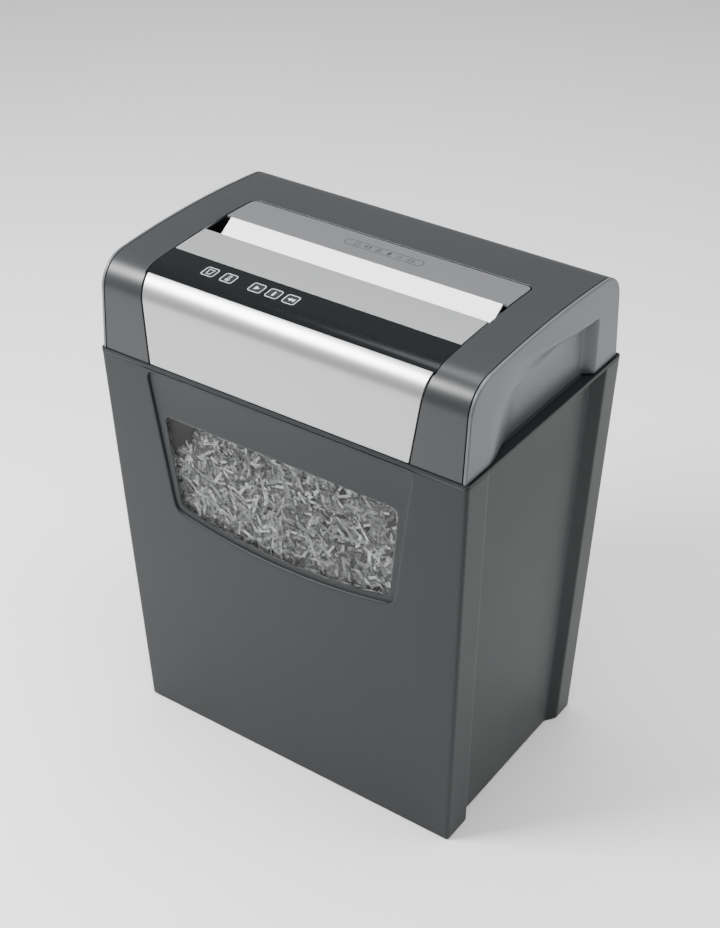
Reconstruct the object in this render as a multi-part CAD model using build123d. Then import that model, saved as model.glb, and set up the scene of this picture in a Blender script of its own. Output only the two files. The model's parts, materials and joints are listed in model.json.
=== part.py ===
"""Paper shredder: a tapered waste bin with a lift-off cutting head. Millimetres, +Z up.

The origin is the centre of the bin's base. The front faces -Y. The head sits on the bin's rim.
"""
from build123d import *
from math import acos, atan2, cos, hypot, pi, radians, sin, sqrt, tan
import os

# ---------------------------------------------------------------- bin: driving dimensions
overall_width = 325.0  # across the rim
overall_depth = 215.0  # front to back over the rim
bin_height = 346.0  # floor to rim
side_taper = 11.4  # each side leans in by this much from rim to base
front_taper = 11.0
rear_taper = 11.0
bin_wall = 2.4
bin_floor = 3.0

front_column = 27.0  # length of the full-width corner column along Y
rear_column = 22.0
column_step = 9.0  # run of the slanted step between column and side panel
panel_inset = 8.5  # how far the side panel stands back at the rim
panel_inset_loss = 2.0  # how much less it stands back at the base

rim_band = 3.0  # height of the flange that carries the head
lip_wall = 1.6
lip_depth = 1.0

recess_depth = 2.0  # the front face's sunken field round the window
recess_top_side = 44.0  # from the rim's side to the field's upper corner
recess_bottom_side = 60.5
recess_side_height = 129.0
recess_bow = 12.0
recess_corner = 9.0

window_top = 43.0  # below the rim
window_top_side = 57.0  # from the rim's side to the window's upper corner
window_bottom_side = 65.5
window_side_height = 124.5
window_bow = 11.0
window_corner = 7.0
pane_thickness = 2.0
pane_overlap = 5.0
pane_gap = 0.25

hollow_radius = 43.0  # rounded shallow field inside the rear wall
hollow_top = 35.0
hollow_side = 63.5  # from the rim's side
hollow_bottom = 260.0
hollow_depth = 0.8

shred_fill = 298.0  # height of the shredded paper in the bin
shred_gap = 0.6
shred_crust = 5.0  # the heap is hollow inside this, so that it weighs what loose paper does

# ---------------------------------------------------------------- head: driving dimensions
seat_gap = 0.3  # between the rim and the head's shell
shell_side_setback = 2.1  # the side panels stand this far inside the rim
shell_front_setback = 1.0  # the same for the front face at the shell's lower edge
shell_rear_setback = 3.5
shell_lean = 0.0716  # front and rear faces lean in by this much per mm of height
arch_height = 75.8  # highest point of the shell over its lower edge
arch_radius = 900.0
arch_centre = 4.0
front_corner = 26.0
rear_corner = 22.0
shell_wall = 2.6

side_panel_wall = 2.8
side_seam = 0.3
scoop_depth = 8.4
scoop_front_run = 34.5  # from the shell's front face to the grip's hollow
scoop_rear_run = 33.0
scoop_height = 45.0
scoop_wall = 2.3
scoop_blend = 0.5  # what is left of the hollow's depth at its upper front corner

opening_side = 35.2  # from the side panel to the top opening for the guides and the strip
opening_rear_run = 68.0  # from the shell's rear face to the opening
opening_corner = 6.0
panel_gap = 0.5  # visible joint round each inserted panel
panel_inset_top = 0.3
panel_wall = 2.0
ledge_width = 3.5
ledge_thickness = 2.2

front_panel_run = 15.0  # how far the front panel reaches back over the top curve
front_panel_top_side = 36.4  # from the side panel to the front panel's upper corner
front_panel_bottom_side = 44.9
strip_run = 31.9  # depth of the control strip's place
front_guide_run = 33.4
throat_gap = 5.0  # paper slot
chute_run = 20.7  # from the slot to the front edge of the rear guide's top
chute_slope = 0.65
guide_wall = 2.0

skirt_depth = 32.0  # how far the head reaches into the bin
skirt_clearance = 4.2
skirt_wall = 2.4
skirt_setback = 4.0  # the skirt's middle stands back from its front corners
skirt_corner = 45.5  # from the rim's side to the end of that setback
skirt_collar = 6.0  # height of the skirt inside the shell
tray_floor = 3.0
tray_under = 2.0  # the tray floor stands this much above the skirt's lower edge

# ---------------------------------------------------------------- cutting block
cutter_height = 8.0  # shaft axes over the shell's lower edge
cutter_spacing = 34.0
disc_radius = 19.0
disc_thickness = 3.6
disc_pitch = 8.0
block_side = 48.0  # kept free between the discs and each side panel, for plate and gears
disc_notches = 5
disc_stagger = 24.0  # turn between neighbouring discs, so that the cuts come one after another
disc_clearance = 3.0  # from a disc's edge to the other shaft's spacers
hex_flats = 16.0
hex_gap = 0.05
journal_radius = 7.0
running_gap = 0.05
bush_radius = 10.0
bush_flange = 12.5
press_gap = 0.02
plate_gap = 2.4  # from the last disc to the side plate
plate_thickness = 3.0
plate_front_reach = 37.3  # from the front shaft's axis
plate_rear_reach = 84.7  # from the rear shaft's axis
plate_top = 52.0
plate_corner = 10.0
foot_length = 14.0
foot_width = 14.0
foot_thickness = 2.0
foot_margin = 3.0
tie_radius = 3.5
tie_screw_radius = 2.0
comb_wall = 6.0
comb_gap = 1.0
comb_finger = 3.2
comb_low = 12.0  # below the shaft axes
comb_high = 14.0

timing_teeth = 17
timing_width = 9.0
timing_gap = 1.5

# ---------------------------------------------------------------- drive
motor_reach = 56.7  # behind the rear shaft's axis
motor_height = 4.0  # its axis over the shell's lower edge
motor_radius = 26.0
motor_length = 92.0
motor_shaft_radius = 2.5
pinion_teeth = 10
first_teeth = 60
first_module = 0.8
second_pinion_teeth = 12
second_teeth = 36
second_module = 1.25
third_pinion_teeth = 12
final_teeth = 36
final_module = 1.5
first_angle = 120.0  # direction from the motor shaft to the first gear
gear_width = 5.0
final_width = 6.0
gear_layer_gap = 2.0
axle_radius = 3.0
pressure_angle = radians(25.0)
addendum = 0.8  # times the module
dedendum = 1.15
backlash = 0.3
gearbox_wall = 2.0
gearbox_gap = 1.0

# ---------------------------------------------------------------- controls and electrics
button_size = 11.5
button_corner = 2.0
button_pitch = 15.0
button_gap = 0.35
button_flange = 0.9
button_flange_thickness = 1.2
button_travel = 0.8
first_button_x = -37.5
button_run = 18.5  # from the front panel's top to the middle of the button row
lens_x = (-80.0, -63.0)
board_drop = 12.0  # from the strip's surface to the control board
board_thickness = 1.6
switch_height = 4.0
switch_size = 6.0
stem_radius = 1.6
led_radius = 2.5
led_height = 6.0
control_board_length = 104.0
control_board_depth = 22.0
control_board_x = -43.0
power_board_length = 72.0
power_board_width = 52.0
power_board_side = 4.4  # from the left side plate to the power board
power_board_shift = 6.0  # its middle stands this far behind the motor's axis
board_post = 5.0
board_post_radius = 3.0

post_side = 40.4  # interlock post on the bin and plunger in the head, from the side panel
post_run = 22.5  # and from the shell's front face
post_size = 7.0
post_gap = 0.3
plunger_radius = 3.0
plunger_travel = 2.0
plunger_reach = 1.0  # below the tray floor
plunger_gap = 0.3
plunger_collar = 4.6
plunger_collar_height = 1.7
plunger_length = 12.0  # above the tray floor
spring_room = 0.4
spring_wire = 0.5
spring_pitch = 2.2
bracket_half = 10.0
bracket_wall = 1.6
bracket_leg = 2.2
switch_body_height = 12.0

gland_side = 48.4  # from the left side panel
gland_height = 13.0
gland_radius = 5.5
gland_bore = 3.6
gland_flange = 8.0
gland_length = 8.0
vent_count = 16
vent_pitch = 7.0
vent_width = 3.0
vent_low = 26.0
vent_high = 52.0

screw_radius = 1.5
screw_head = 3.2
screw_head_height = 1.6
boss_radius = 4.0
boss_side = 23.4  # from the side panel
boss_front_run = 19.5  # from the shell's front face
boss_rear_run = 18.0

# ---------------------------------------------------------------- worked-out places
deck = bin_height + seat_gap  # lower edge of the head's shell
recess_top_half = overall_width / 2 - recess_top_side
recess_bottom_half = overall_width / 2 - recess_bottom_side
window_top_half = overall_width / 2 - window_top_side
window_bottom_half = overall_width / 2 - window_bottom_side
hollow_half = overall_width / 2 - hollow_side
shell_half = overall_width / 2 - shell_side_setback
shell_front = -overall_depth / 2 + shell_front_setback
shell_rear = overall_depth / 2 - shell_rear_setback
scoop_front = shell_front + scoop_front_run
scoop_rear = shell_rear - scoop_rear_run
opening_half = shell_half - opening_side
opening_rear = shell_rear - opening_rear_run
front_panel_top = shell_front + front_panel_run
front_panel_top_half = shell_half - front_panel_top_side
front_panel_bottom_half = shell_half - front_panel_bottom_side
strip_rear = front_panel_top + strip_run
throat_front = strip_rear + front_guide_run  # rear edge of the front guide
button_y = front_panel_top + button_run
boss_x = shell_half - boss_side
boss_front = shell_front + boss_front_run
boss_rear = shell_rear - boss_rear_run
post_x = post_side - shell_half
post_y = shell_front + post_run
gland_x = gland_side - shell_half
skirt_setback_half = overall_width / 2 - skirt_corner
skirt_bottom = deck - skirt_depth
tray_bottom = skirt_bottom + tray_under
tray_top = tray_bottom + tray_floor
throat_rear = throat_front + guide_wall + throat_gap
chute_top = throat_rear + chute_run
nip_y = throat_front + guide_wall + throat_gap / 2
front_shaft_y = nip_y - cutter_spacing / 2
rear_shaft_y = nip_y + cutter_spacing / 2
shaft_z = deck + cutter_height
spacer_radius = cutter_spacing - disc_radius - disc_clearance
disc_count = int(2 * (shell_half - block_side) / disc_pitch)
stack_half = disc_count * disc_pitch / 2
plate_inner = stack_half + plate_gap
plate_outer = plate_inner + plate_thickness
plate_front = front_shaft_y - plate_front_reach
plate_rear = rear_shaft_y + plate_rear_reach
timing_module = cutter_spacing / timing_teeth
cover_half = shell_half - side_panel_wall - side_seam
front_lean = atan2(front_taper, bin_height)

layer_one = plate_outer + gear_layer_gap
layer_two = layer_one + gear_width + gear_layer_gap
layer_three = layer_two + gear_width + gear_layer_gap
gearbox_inner = layer_three + final_width + gearbox_gap
motor_y = rear_shaft_y + motor_reach
motor_z = deck + motor_height
power_board_x = power_board_side + power_board_length / 2 - plate_inner
power_board_y = motor_y + power_board_shift


def centre_distance(module, teeth_a, teeth_b):
    return module * (teeth_a + teeth_b) / 2


first_distance = centre_distance(first_module, pinion_teeth, first_teeth)
second_distance = centre_distance(second_module, second_pinion_teeth, second_teeth)
final_distance = centre_distance(final_module, third_pinion_teeth, final_teeth)
first_y = motor_y + first_distance * cos(radians(first_angle))
first_z = motor_z + first_distance * sin(radians(first_angle))


def second_gear_place():
    """The point at the second distance from the first gear and the final distance from the rear shaft."""
    dy = first_y - rear_shaft_y
    dz = first_z - shaft_z
    base = hypot(dy, dz)
    along = (final_distance**2 - second_distance**2 + base**2) / (2 * base)
    across = sqrt(final_distance**2 - along**2)
    y = rear_shaft_y + (along * dy - across * dz) / base
    z = shaft_z + (along * dz + across * dy) / base
    return y, z


second_y, second_z = second_gear_place()


# ---------------------------------------------------------------- helpers
def box(x0, x1, y0, y1, z0, z1):
    """A box from its two corners."""
    return Pos((x0 + x1) / 2, (y0 + y1) / 2, (z0 + z1) / 2) * Box(x1 - x0, y1 - y0, z1 - z0)


def rod_x(radius, x0, x1, y, z):
    """A round bar along X."""
    return Pos((x0 + x1) / 2, y, z) * Rot(0, 90, 0) * Cylinder(radius, x1 - x0)


def rod_z(radius, x, y, z0, z1):
    """A round bar along Z."""
    return Pos(x, y, (z0 + z1) / 2) * Cylinder(radius, z1 - z0)


def prism_x(face, x0, x1, y=0.0, z=0.0):
    """A face drawn with its first axis along Y and its second along Z, carried along X."""
    return extrude(Pos(x0, y, z) * (Plane.YZ * face), amount=x1 - x0, dir=(1, 0, 0))


def write(name, shape):
    """Write one sub-part to its own STEP file."""
    solids = shape.solids() if hasattr(shape, "solids") else ShapeList(shape)
    body = solids[0] if len(solids) == 1 else Compound(children=[copy_of(s) for s in solids])
    body.label = name
    export_step(body, f"parts/{name}.step")


def copy_of(solid):
    return Solid(solid.wrapped)


# ---------------------------------------------------------------- bin
def tub_section(z, inward=0.0):
    """The bin's plan outline at one height: corner columns with side panels set back between them."""
    fall = (bin_height - z) / bin_height
    half = overall_width / 2 - side_taper * fall
    front = -overall_depth / 2 + front_taper * fall
    rear = overall_depth / 2 - rear_taper * fall
    inset = panel_inset - panel_inset_loss * fall
    right = [
        (half, front),
        (half, front + front_column),
        (half - inset, front + front_column + column_step),
        (half - inset, rear - rear_column - column_step),
        (half, rear - rear_column),
        (half, rear),
    ]
    left = [(-x, y) for x, y in reversed(right)]
    outline = make_face(Polyline(*right, *left, close=True))
    if inward:
        outline = offset(outline, amount=-inward, kind=Kind.INTERSECTION)
    return Pos(0, 0, z) * outline.face()


def front_plane():
    """The bin's leaning front face: first axis along +X, second axis up the wall, normal outwards."""
    return Plane(
        origin=(0, -overall_depth / 2, bin_height),
        x_dir=(1, 0, 0),
        z_dir=(0, -cos(front_lean), -sin(front_lean)),
    )


def flared_field(top, top_half, bottom, bottom_half, bow, corner, grow=0.0, round_top=True):
    """A field that narrows downwards and has a bowed lower edge, in the front face's own plane."""
    a = top_half + grow
    b = bottom_half + grow
    high = top + grow
    low = bottom - grow
    edges = [
        Line((-a, high), (-b, low)),
        ThreePointArc((-b, low), (0, low - bow), (b, low)),
        Line((b, low), (a, high)),
        Line((a, high), (-a, high)),
    ]
    field = make_face(edges)
    lower = field.vertices().sort_by(Axis.Y)[:2]
    field = fillet(lower, corner + grow)
    if round_top:
        upper = field.vertices().sort_by(Axis.Y)[-2:]
        field = fillet(upper, corner + grow)
    return field


def recess_field(grow=0.0):
    return flared_field(
        0.5, recess_top_half, -recess_side_height, recess_bottom_half, recess_bow, recess_corner, grow, False
    )


def window_field(grow=0.0):
    return flared_field(
        -window_top, window_top_half, -window_side_height, window_bottom_half, window_bow, window_corner, grow
    )


def front_slab(field, near, far):
    """A field of the front face carried inwards, from one depth to another."""
    return extrude(front_plane().offset(-near) * field, amount=-(far - near))


def rear_hollow():
    """The shallow rounded field inside the bin's rear wall."""
    lean = atan2(rear_taper, bin_height)
    start = (0, overall_depth / 2 - bin_wall, bin_height)
    wall = Plane(origin=start, x_dir=(-1, 0, 0), z_dir=(0, cos(lean), -sin(lean)))
    tall = hollow_bottom - hollow_top
    field = Pos(0, -hollow_top - tall / 2) * RectangleRounded(2 * hollow_half, tall, hollow_radius)
    return extrude(wall.offset(hollow_depth) * field, amount=-hollow_depth - 1)


def make_bin_shell():
    outer = loft([tub_section(0), tub_section(bin_height)])
    rim = box(
        -overall_width / 2,
        overall_width / 2,
        -overall_depth / 2,
        overall_depth / 2,
        bin_height - rim_band,
        bin_height,
    )
    inner = loft([tub_section(bin_floor, bin_wall), tub_section(bin_height + 1, bin_wall)])
    pad = front_slab(recess_field(bin_wall), bin_wall / 2, bin_wall + recess_depth)
    lip_pocket = box(
        -overall_width / 2 + lip_wall,
        overall_width / 2 - lip_wall,
        -overall_depth / 2 + lip_wall,
        overall_depth / 2 - lip_wall,
        bin_height - lip_depth,
        bin_height + 1,
    )
    shell = outer + rim - inner + pad - lip_pocket
    shell -= front_slab(recess_field(), -5, recess_depth)
    shell -= front_slab(window_field(), -5, bin_wall + recess_depth + 5)
    shell -= rear_hollow()
    shell -= box(-overall_width, overall_width, -overall_depth, overall_depth, bin_height, bin_height + 20)
    return shell + make_interlock_post()


def make_interlock_post():
    """A bracket moulded on the front wall, whose upright tip works the head's interlock."""
    tip = tray_bottom - plunger_reach - post_gap
    shelf_top = skirt_bottom - 3
    wall_y = -overall_depth / 2 + front_taper * (bin_height - shelf_top) / bin_height + bin_wall / 2
    half = post_size / 2
    shelf = box(post_x - half, post_x + half, wall_y, post_y + half, shelf_top - 16, shelf_top)
    upright = box(post_x - half, post_x + half, post_y - half, post_y + half, shelf_top - 4, tip)
    slope = Pos(post_x, 0, 0) * extrude(
        Plane.YZ
        * make_face(
            Polyline(
                (wall_y + bin_wall, shelf_top - 16),
                (post_y + half + 0.1, shelf_top - 16 - 0.1),
                (post_y + half + 0.1, shelf_top - 4),
                close=True,
            )
        ),
        amount=half + 0.5,
        both=True,
    )
    return shelf - slope + upright


def make_window_pane():
    plug = front_slab(window_field(-pane_gap), recess_depth + 0.4, bin_wall + recess_depth)
    back = front_slab(
        window_field(pane_overlap), bin_wall + recess_depth, bin_wall + recess_depth + pane_thickness
    )
    return plug + back


def make_paper_shreds():
    inward = bin_wall + shred_gap
    heap = loft([tub_section(bin_floor + shred_gap, inward), tub_section(shred_fill, inward)])
    depth = bin_wall + recess_depth + pane_thickness + shred_gap
    heap -= front_slab(recess_field(bin_wall + shred_gap), -5, depth)
    half = post_size / 2 + shred_gap
    heap -= box(post_x - half, post_x + half, -overall_depth / 2, post_y + half, shred_fill - 40, bin_height)
    core_low = bin_floor + shred_gap + shred_crust
    core_high = shred_fill - shred_crust
    core = loft([tub_section(core_low, inward + shred_crust), tub_section(core_high, inward + shred_crust)])
    core -= front_slab(recess_field(bin_wall + shred_gap + shred_crust), -5, depth + shred_crust)
    reach = half + shred_crust
    core -= box(
        post_x - reach, post_x + reach, -overall_depth / 2, post_y + reach, shred_fill - 45, bin_height
    )
    return heap - core


# ---------------------------------------------------------------- head shell
def shell_profile(inward=0.0):
    """The head's side view: leaning front and rear faces under a long arch, with rounded corners."""
    low = -10.0
    high = arch_height + 20
    sides = make_face(
        Polyline(
            (shell_front + shell_lean * low, low),
            (shell_front + shell_lean * high, high),
            (shell_rear - shell_lean * high, high),
            (shell_rear - shell_lean * low, low),
            close=True,
        )
    )
    profile = sides & (Pos(arch_centre, arch_height - arch_radius) * Circle(arch_radius))
    front_top = max(profile.vertices(), key=lambda v: v.Y - v.X)
    profile = fillet(front_top, front_corner)
    rear_top = max(profile.vertices(), key=lambda v: v.Y + v.X)
    profile = fillet(rear_top, rear_corner)
    if inward:
        profile = offset(profile, amount=-inward, kind=Kind.INTERSECTION)
    return profile.face()


def shell_block(inward, half):
    """The solid under the shell's arch, set in from its surface, above the deck."""
    block = prism_x(shell_profile(inward), -half, half, 0, deck)
    return block - box(-200, 200, -200, 200, deck - 60, deck)


def shell_skin(near, far, half):
    """A skin that follows the arch between two depths."""
    return shell_block(near, half) - shell_block(far, half + 1)


def arch_z(y):
    """Height of the arch's surface."""
    return deck + arch_height - arch_radius + sqrt(arch_radius**2 - (y - arch_centre) ** 2)


def panel_opening(grow=0.0):
    """The space in the shell for the front panel, the control strip and both guides."""
    front = Plane.XZ * make_face(
        Polyline(
            (-front_panel_bottom_half - grow, deck - 20),
            (-front_panel_bottom_half - grow, deck),
            (-front_panel_top_half - grow, arch_z(front_panel_top) + 2),
            (front_panel_top_half + grow, arch_z(front_panel_top) + 2),
            (front_panel_bottom_half + grow, deck),
            (front_panel_bottom_half + grow, deck - 20),
            close=True,
        )
    )
    face_part = Pos(0, front_panel_top + 6, 0) * extrude(front, amount=60, dir=(0, -1, 0))
    half = opening_half + grow
    top = Pos(0, (opening_rear + grow + front_panel_top - 2) / 2, 0) * Rectangle(
        2 * half, opening_rear + grow - front_panel_top + 2
    )
    corners = top.vertices().sort_by(Axis.Y)[-2:]
    top = fillet(corners, max(opening_corner + grow, 1))
    top_part = extrude(Pos(0, 0, deck + arch_height / 2) * top, amount=arch_height)
    return face_part + top_part


def boss_places():
    return [(sx * boss_x, y) for sx in (-1, 1) for y in (boss_front, boss_rear)]


def rear_face_plane():
    """The shell's rear face where the cord leaves: third axis inwards."""
    origin = (gland_x, shell_rear - shell_lean * gland_height, deck + gland_height)
    return Plane(origin=origin, x_dir=(1, 0, 0), z_dir=(0, -1, -shell_lean))


def make_top_cover():
    cover = shell_skin(0, shell_wall, cover_half) - panel_opening(0)
    ledge = shell_skin(shell_wall - 0.2, shell_wall - 0.2 + ledge_thickness, cover_half - 1)
    ledge = ledge & (panel_opening(4) - panel_opening(-ledge_width))
    cover = cover + ledge
    reach = shell_block(1.2, cover_half - 1)
    for x, y in boss_places():
        cover += rod_z(boss_radius, x, y, deck + 0.1, deck + arch_height) & reach
        cover += rod_z(boss_radius, x, y, tray_top, deck + 0.2)
        cover -= rod_z(screw_radius, x, y, tray_top - 1, tray_top + 14)
    cover -= rear_face_plane() * Cylinder(gland_radius, 20)
    for i in range(vent_count):
        x = (i - (vent_count - 1) / 2) * vent_pitch
        cover -= box(
            x - vent_width / 2,
            x + vent_width / 2,
            shell_rear - 14,
            shell_rear + 5,
            deck + vent_low,
            deck + vent_high,
        )
    return cover


def scoop(grow=0.0):
    """The hand grip's hollow in the right side: deep at the rear, running out towards the front and top."""
    outer = shell_half + 2
    inner = shell_half - scoop_depth - grow
    ramp = scoop_depth + 2 * grow
    front = scoop_front - grow
    rear = scoop_rear + grow
    low = make_face(
        Polyline(
            (outer, front),
            (shell_half, front),
            (inner, front + ramp),
            (inner, rear - ramp),
            (shell_half, rear),
            (outer, rear),
            close=True,
        )
    )
    high = make_face(
        Polyline(
            (outer, front),
            (shell_half, front),
            (shell_half - scoop_blend - grow, front + ramp),
            (inner, rear - ramp),
            (shell_half, rear),
            (outer, rear),
            close=True,
        )
    )
    return loft([Pos(0, 0, deck) * low.face(), Pos(0, 0, deck + scoop_height + grow) * high.face()])


def make_right_side_panel():
    inner = shell_half - side_panel_wall
    plate = prism_x(shell_profile(0), inner, shell_half, 0, deck)
    plate -= box(0, 200, -200, 200, deck - 60, deck)
    edges = plate.faces().sort_by(Axis.X)[-1].edges().filter_by(lambda e: e.center().Z > deck + 1)
    plate = fillet(edges, side_panel_wall / 2)
    bulge = scoop(scoop_wall) - box(shell_half - 0.8, 200, -200, 200, deck - 5, deck + 90)
    return plate + bulge - scoop()


def make_front_panel():
    skin = shell_skin(0, panel_wall, cover_half) & panel_opening(-panel_gap)
    return skin - box(-200, 200, front_panel_top, 200, deck - 10, deck + 100)


def strip_skin(y0, y1):
    """A cross strip of the top surface between two Y places."""
    half = opening_half - panel_gap
    skin = shell_skin(panel_inset_top, panel_inset_top + panel_wall, half) & panel_opening(-panel_gap)
    return skin & box(-half, half, y0, y1, deck + arch_height / 2, deck + arch_height + 5)


def surface_frame(x, y):
    """A frame on the strip's surface: its third axis is the surface's outward direction."""
    tilt = (y - arch_centre) / arch_radius
    origin = (x, y, arch_z(y) - panel_inset_top)
    return Plane(origin=origin, x_dir=(1, 0, 0), z_dir=(0, tilt, sqrt(1 - tilt**2)))


def button_places():
    return [first_button_x + i * button_pitch for i in range(3)]


def pad(x, size, corner, near, far):
    """A rounded square block square to the strip's surface, between two depths."""
    face = RectangleRounded(size, size, corner)
    return extrude(surface_frame(x, button_y).offset(-near) * face, amount=-(far - near))


def make_control_strip():
    strip = strip_skin(front_panel_top + panel_gap, strip_rear - panel_gap / 2)
    for x in button_places():
        strip -= pad(x, button_size + 2 * button_gap, button_corner + button_gap, -2, panel_wall + 2)
    for x in lens_x:
        strip -= pad(x, button_size + 0.2, button_corner + 0.1, -2, panel_wall + 2)
    return strip


def make_button(x):
    """A cap that sits flush in the strip, with a flange that holds it in and a stem over its switch."""
    cap = pad(x, button_size, button_corner, 0, panel_wall + 0.6)
    flange_near = panel_wall + 0.4
    flange_far = flange_near + button_flange_thickness
    flange = pad(x, button_size + 2 * (button_gap + button_flange), button_corner, flange_near, flange_far)
    switch_top = board_drop - switch_height
    stem_far = switch_top - button_travel - 0.3
    frame = surface_frame(x, button_y).offset(-flange_near)
    stem = extrude(frame * Circle(stem_radius), amount=-(stem_far - flange_near))
    return cap + flange + stem


def make_lens(x):
    return pad(x, button_size, button_corner, 0.05, panel_wall)


def make_front_guide():
    top = strip_skin(strip_rear + panel_gap / 2, throat_front + guide_wall)
    half = stack_half + 1
    wall_top = arch_z(throat_front) - panel_inset_top - panel_wall / 2
    low = shaft_z + disc_radius + 2
    return top + box(-half, half, throat_front, throat_front + guide_wall, low, wall_top)


def make_rear_guide():
    """The rear top panel, the sloping chute in front of it and the slot's rear wall."""
    top = strip_skin(chute_top, opening_rear - panel_gap)
    crest = arch_z(chute_top) - panel_inset_top
    knee = crest - chute_slope * (chute_top - throat_rear)
    low = shaft_z + disc_radius + 2
    chute = make_face(
        Polyline(
            (chute_top + 0.5, crest),
            (throat_rear, knee),
            (throat_rear, knee - guide_wall * 1.5),
            (throat_rear + guide_wall, knee - guide_wall * 1.5),
            (chute_top + 0.5, crest - guide_wall * 1.2),
            close=True,
        )
    )
    slope_half = opening_half - ledge_width - panel_gap
    slope = prism_x(chute, -slope_half, slope_half)
    wall_half = stack_half + 1
    wall = box(-wall_half, wall_half, throat_rear, throat_rear + guide_wall, low, knee - guide_wall)
    return top + slope + wall


def skirt_outline():
    """The plan outline of the part of the head that stands in the bin."""
    outline = tub_section(skirt_bottom, bin_wall + skirt_clearance)
    front = -overall_depth / 2 + bin_wall + skirt_clearance
    notch = Pos(0, front, skirt_bottom) * Rectangle(2 * skirt_setback_half, 2 * skirt_setback)
    return (outline - notch).face()


def make_lower_tray():
    outline = skirt_outline()
    inner = offset(outline, amount=-skirt_wall, kind=Kind.INTERSECTION).face()
    tray = extrude(outline, amount=skirt_depth + skirt_collar, dir=(0, 0, 1))
    up = tray_top - skirt_bottom
    tray -= extrude(Pos(0, 0, up) * inner, amount=200, dir=(0, 0, 1))
    tray -= extrude(Pos(0, 0, -1) * inner, amount=tray_under + 1, dir=(0, 0, 1))
    tray -= cutter_drop(0)
    for x, y in boss_places():
        tray -= rod_z(screw_radius + 0.2, x, y, tray_bottom - 1, tray_top + 1)
    for x, y in foot_places():
        tray -= rod_z(screw_radius, x, y, tray_bottom - 1, tray_top + 1)
    for x, y in board_places():
        tray += rod_z(board_post_radius, x, y, tray_top - 0.5, tray_top + board_post)
        tray -= rod_z(screw_radius, x, y, tray_top, tray_top + board_post + 1)
    tray -= rod_z(plunger_radius + plunger_gap, post_x, post_y, tray_bottom - 5, tray_top + 1)
    return tray


def cutter_drop(grow):
    """The opening under the cutters."""
    half = stack_half - 4 + grow
    front = front_shaft_y - disc_radius - 1 - grow
    rear = rear_shaft_y + disc_radius + 1 + grow
    return box(-half, half, front, rear, tray_bottom - 5, tray_top + 5)


def screw(x, y, z, length, up=True):
    """A pan-head screw whose head bears at z and whose shank points up, or down."""
    way = 1 if up else -1
    shank = Pos(x, y, z + way * length / 2) * Cylinder(screw_radius - 0.1, length)
    head = Pos(x, y, z - way * screw_head_height / 2) * Cylinder(screw_head, screw_head_height)
    slot = Pos(x, y, z - way * screw_head_height) * Box(0.8, screw_head * 1.4, 1.2)
    cross = Pos(x, y, z - way * screw_head_height) * Box(screw_head * 1.4, 0.8, 1.2)
    return shank + head - slot - cross


def make_case_screws():
    return [screw(x, y, tray_bottom, 13) for x, y in boss_places()]


# ---------------------------------------------------------------- cutting block
def foot_places():
    rows = (plate_front + foot_width / 2 + foot_margin, plate_rear - foot_width / 2 - foot_margin)
    return [(sx * (plate_inner - foot_length / 2), y) for sx in (-1, 1) for y in rows]


def tie_places():
    front = front_shaft_y - disc_radius - comb_gap - comb_wall - tie_radius - 3
    rear = rear_shaft_y + disc_radius + comb_gap + 4
    return [(front, shaft_z - 20), (front, shaft_z + 18), (rear, shaft_z - 25)]


def make_cutter_plate(side):
    """A steel side plate of the cutting block, with bush holes and two bent feet."""
    x0, x1 = sorted((side * plate_inner, side * plate_outer))
    plate = box(x0, x1, plate_front, plate_rear, tray_top, deck + plate_top)
    top_edges = plate.edges().filter_by(Axis.X).group_by(Axis.Z)[-1]
    plate = fillet(top_edges, plate_corner)
    for x, y in foot_places():
        if x * side > 0:
            f0, f1 = sorted((side * (plate_inner + 0.5), side * (plate_inner - foot_length)))
            half = foot_width / 2
            plate += box(f0, f1, y - half, y + half, tray_top, tray_top + foot_thickness)
            plate -= rod_z(screw_radius + 0.2, x, y, tray_top - 1, tray_top + foot_thickness + 1)
    for y in (front_shaft_y, rear_shaft_y):
        plate -= rod_x(bush_radius + press_gap, x0 - 1, x1 + 1, y, shaft_z)
    for y, z in tie_places():
        plate -= rod_x(tie_screw_radius + 0.2, x0 - 1, x1 + 1, y, z)
    if side > 0:
        plate -= rod_x(motor_shaft_radius + 4, x0 - 1, x1 + 1, motor_y, motor_z)
        for y, z in motor_screw_places():
            plate -= rod_x(screw_radius + 0.2, x0 - 1, x1 + 1, y, z)
        for y, z in ((first_y, first_z), (second_y, second_z)):
            plate -= rod_x(axle_radius + press_gap, x0 - 1, x1 + 1, y, z)
    return plate


def make_tie_rods():
    rods = []
    for y, z in tie_places():
        rod = rod_x(tie_radius, -plate_inner, plate_inner, y, z)
        for side in (-1, 1):
            x0, x1 = sorted((side * (plate_inner - 12), side * (plate_inner + 1)))
            rod -= rod_x(tie_screw_radius, x0, x1, y, z)
        rods.append(rod)
    return rods


def screw_x(side, x, y, z, length, radius, head, head_height):
    """A screw along X whose head bears on the outside of a plate."""
    x0, x1 = sorted((x, x - side * length))
    h0, h1 = sorted((x, x + side * head_height))
    s0, s1 = sorted((x + side * head_height * 0.5, x + side * (head_height + 1)))
    part = rod_x(radius, x0, x1, y, z) + rod_x(head, h0, h1, y, z)
    return part - box(s0, s1, y - head * 0.7, y + head * 0.7, z - 0.4, z + 0.4)


def make_tie_screws():
    return [
        screw_x(side, side * plate_outer, y, z, 14, tie_screw_radius - 0.1, 3.6, 1.6)
        for side in (-1, 1)
        for y, z in tie_places()
    ]


def make_plate_screws():
    return [screw(x, y, tray_top + foot_thickness, 4, up=False) for x, y in foot_places()]


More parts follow.
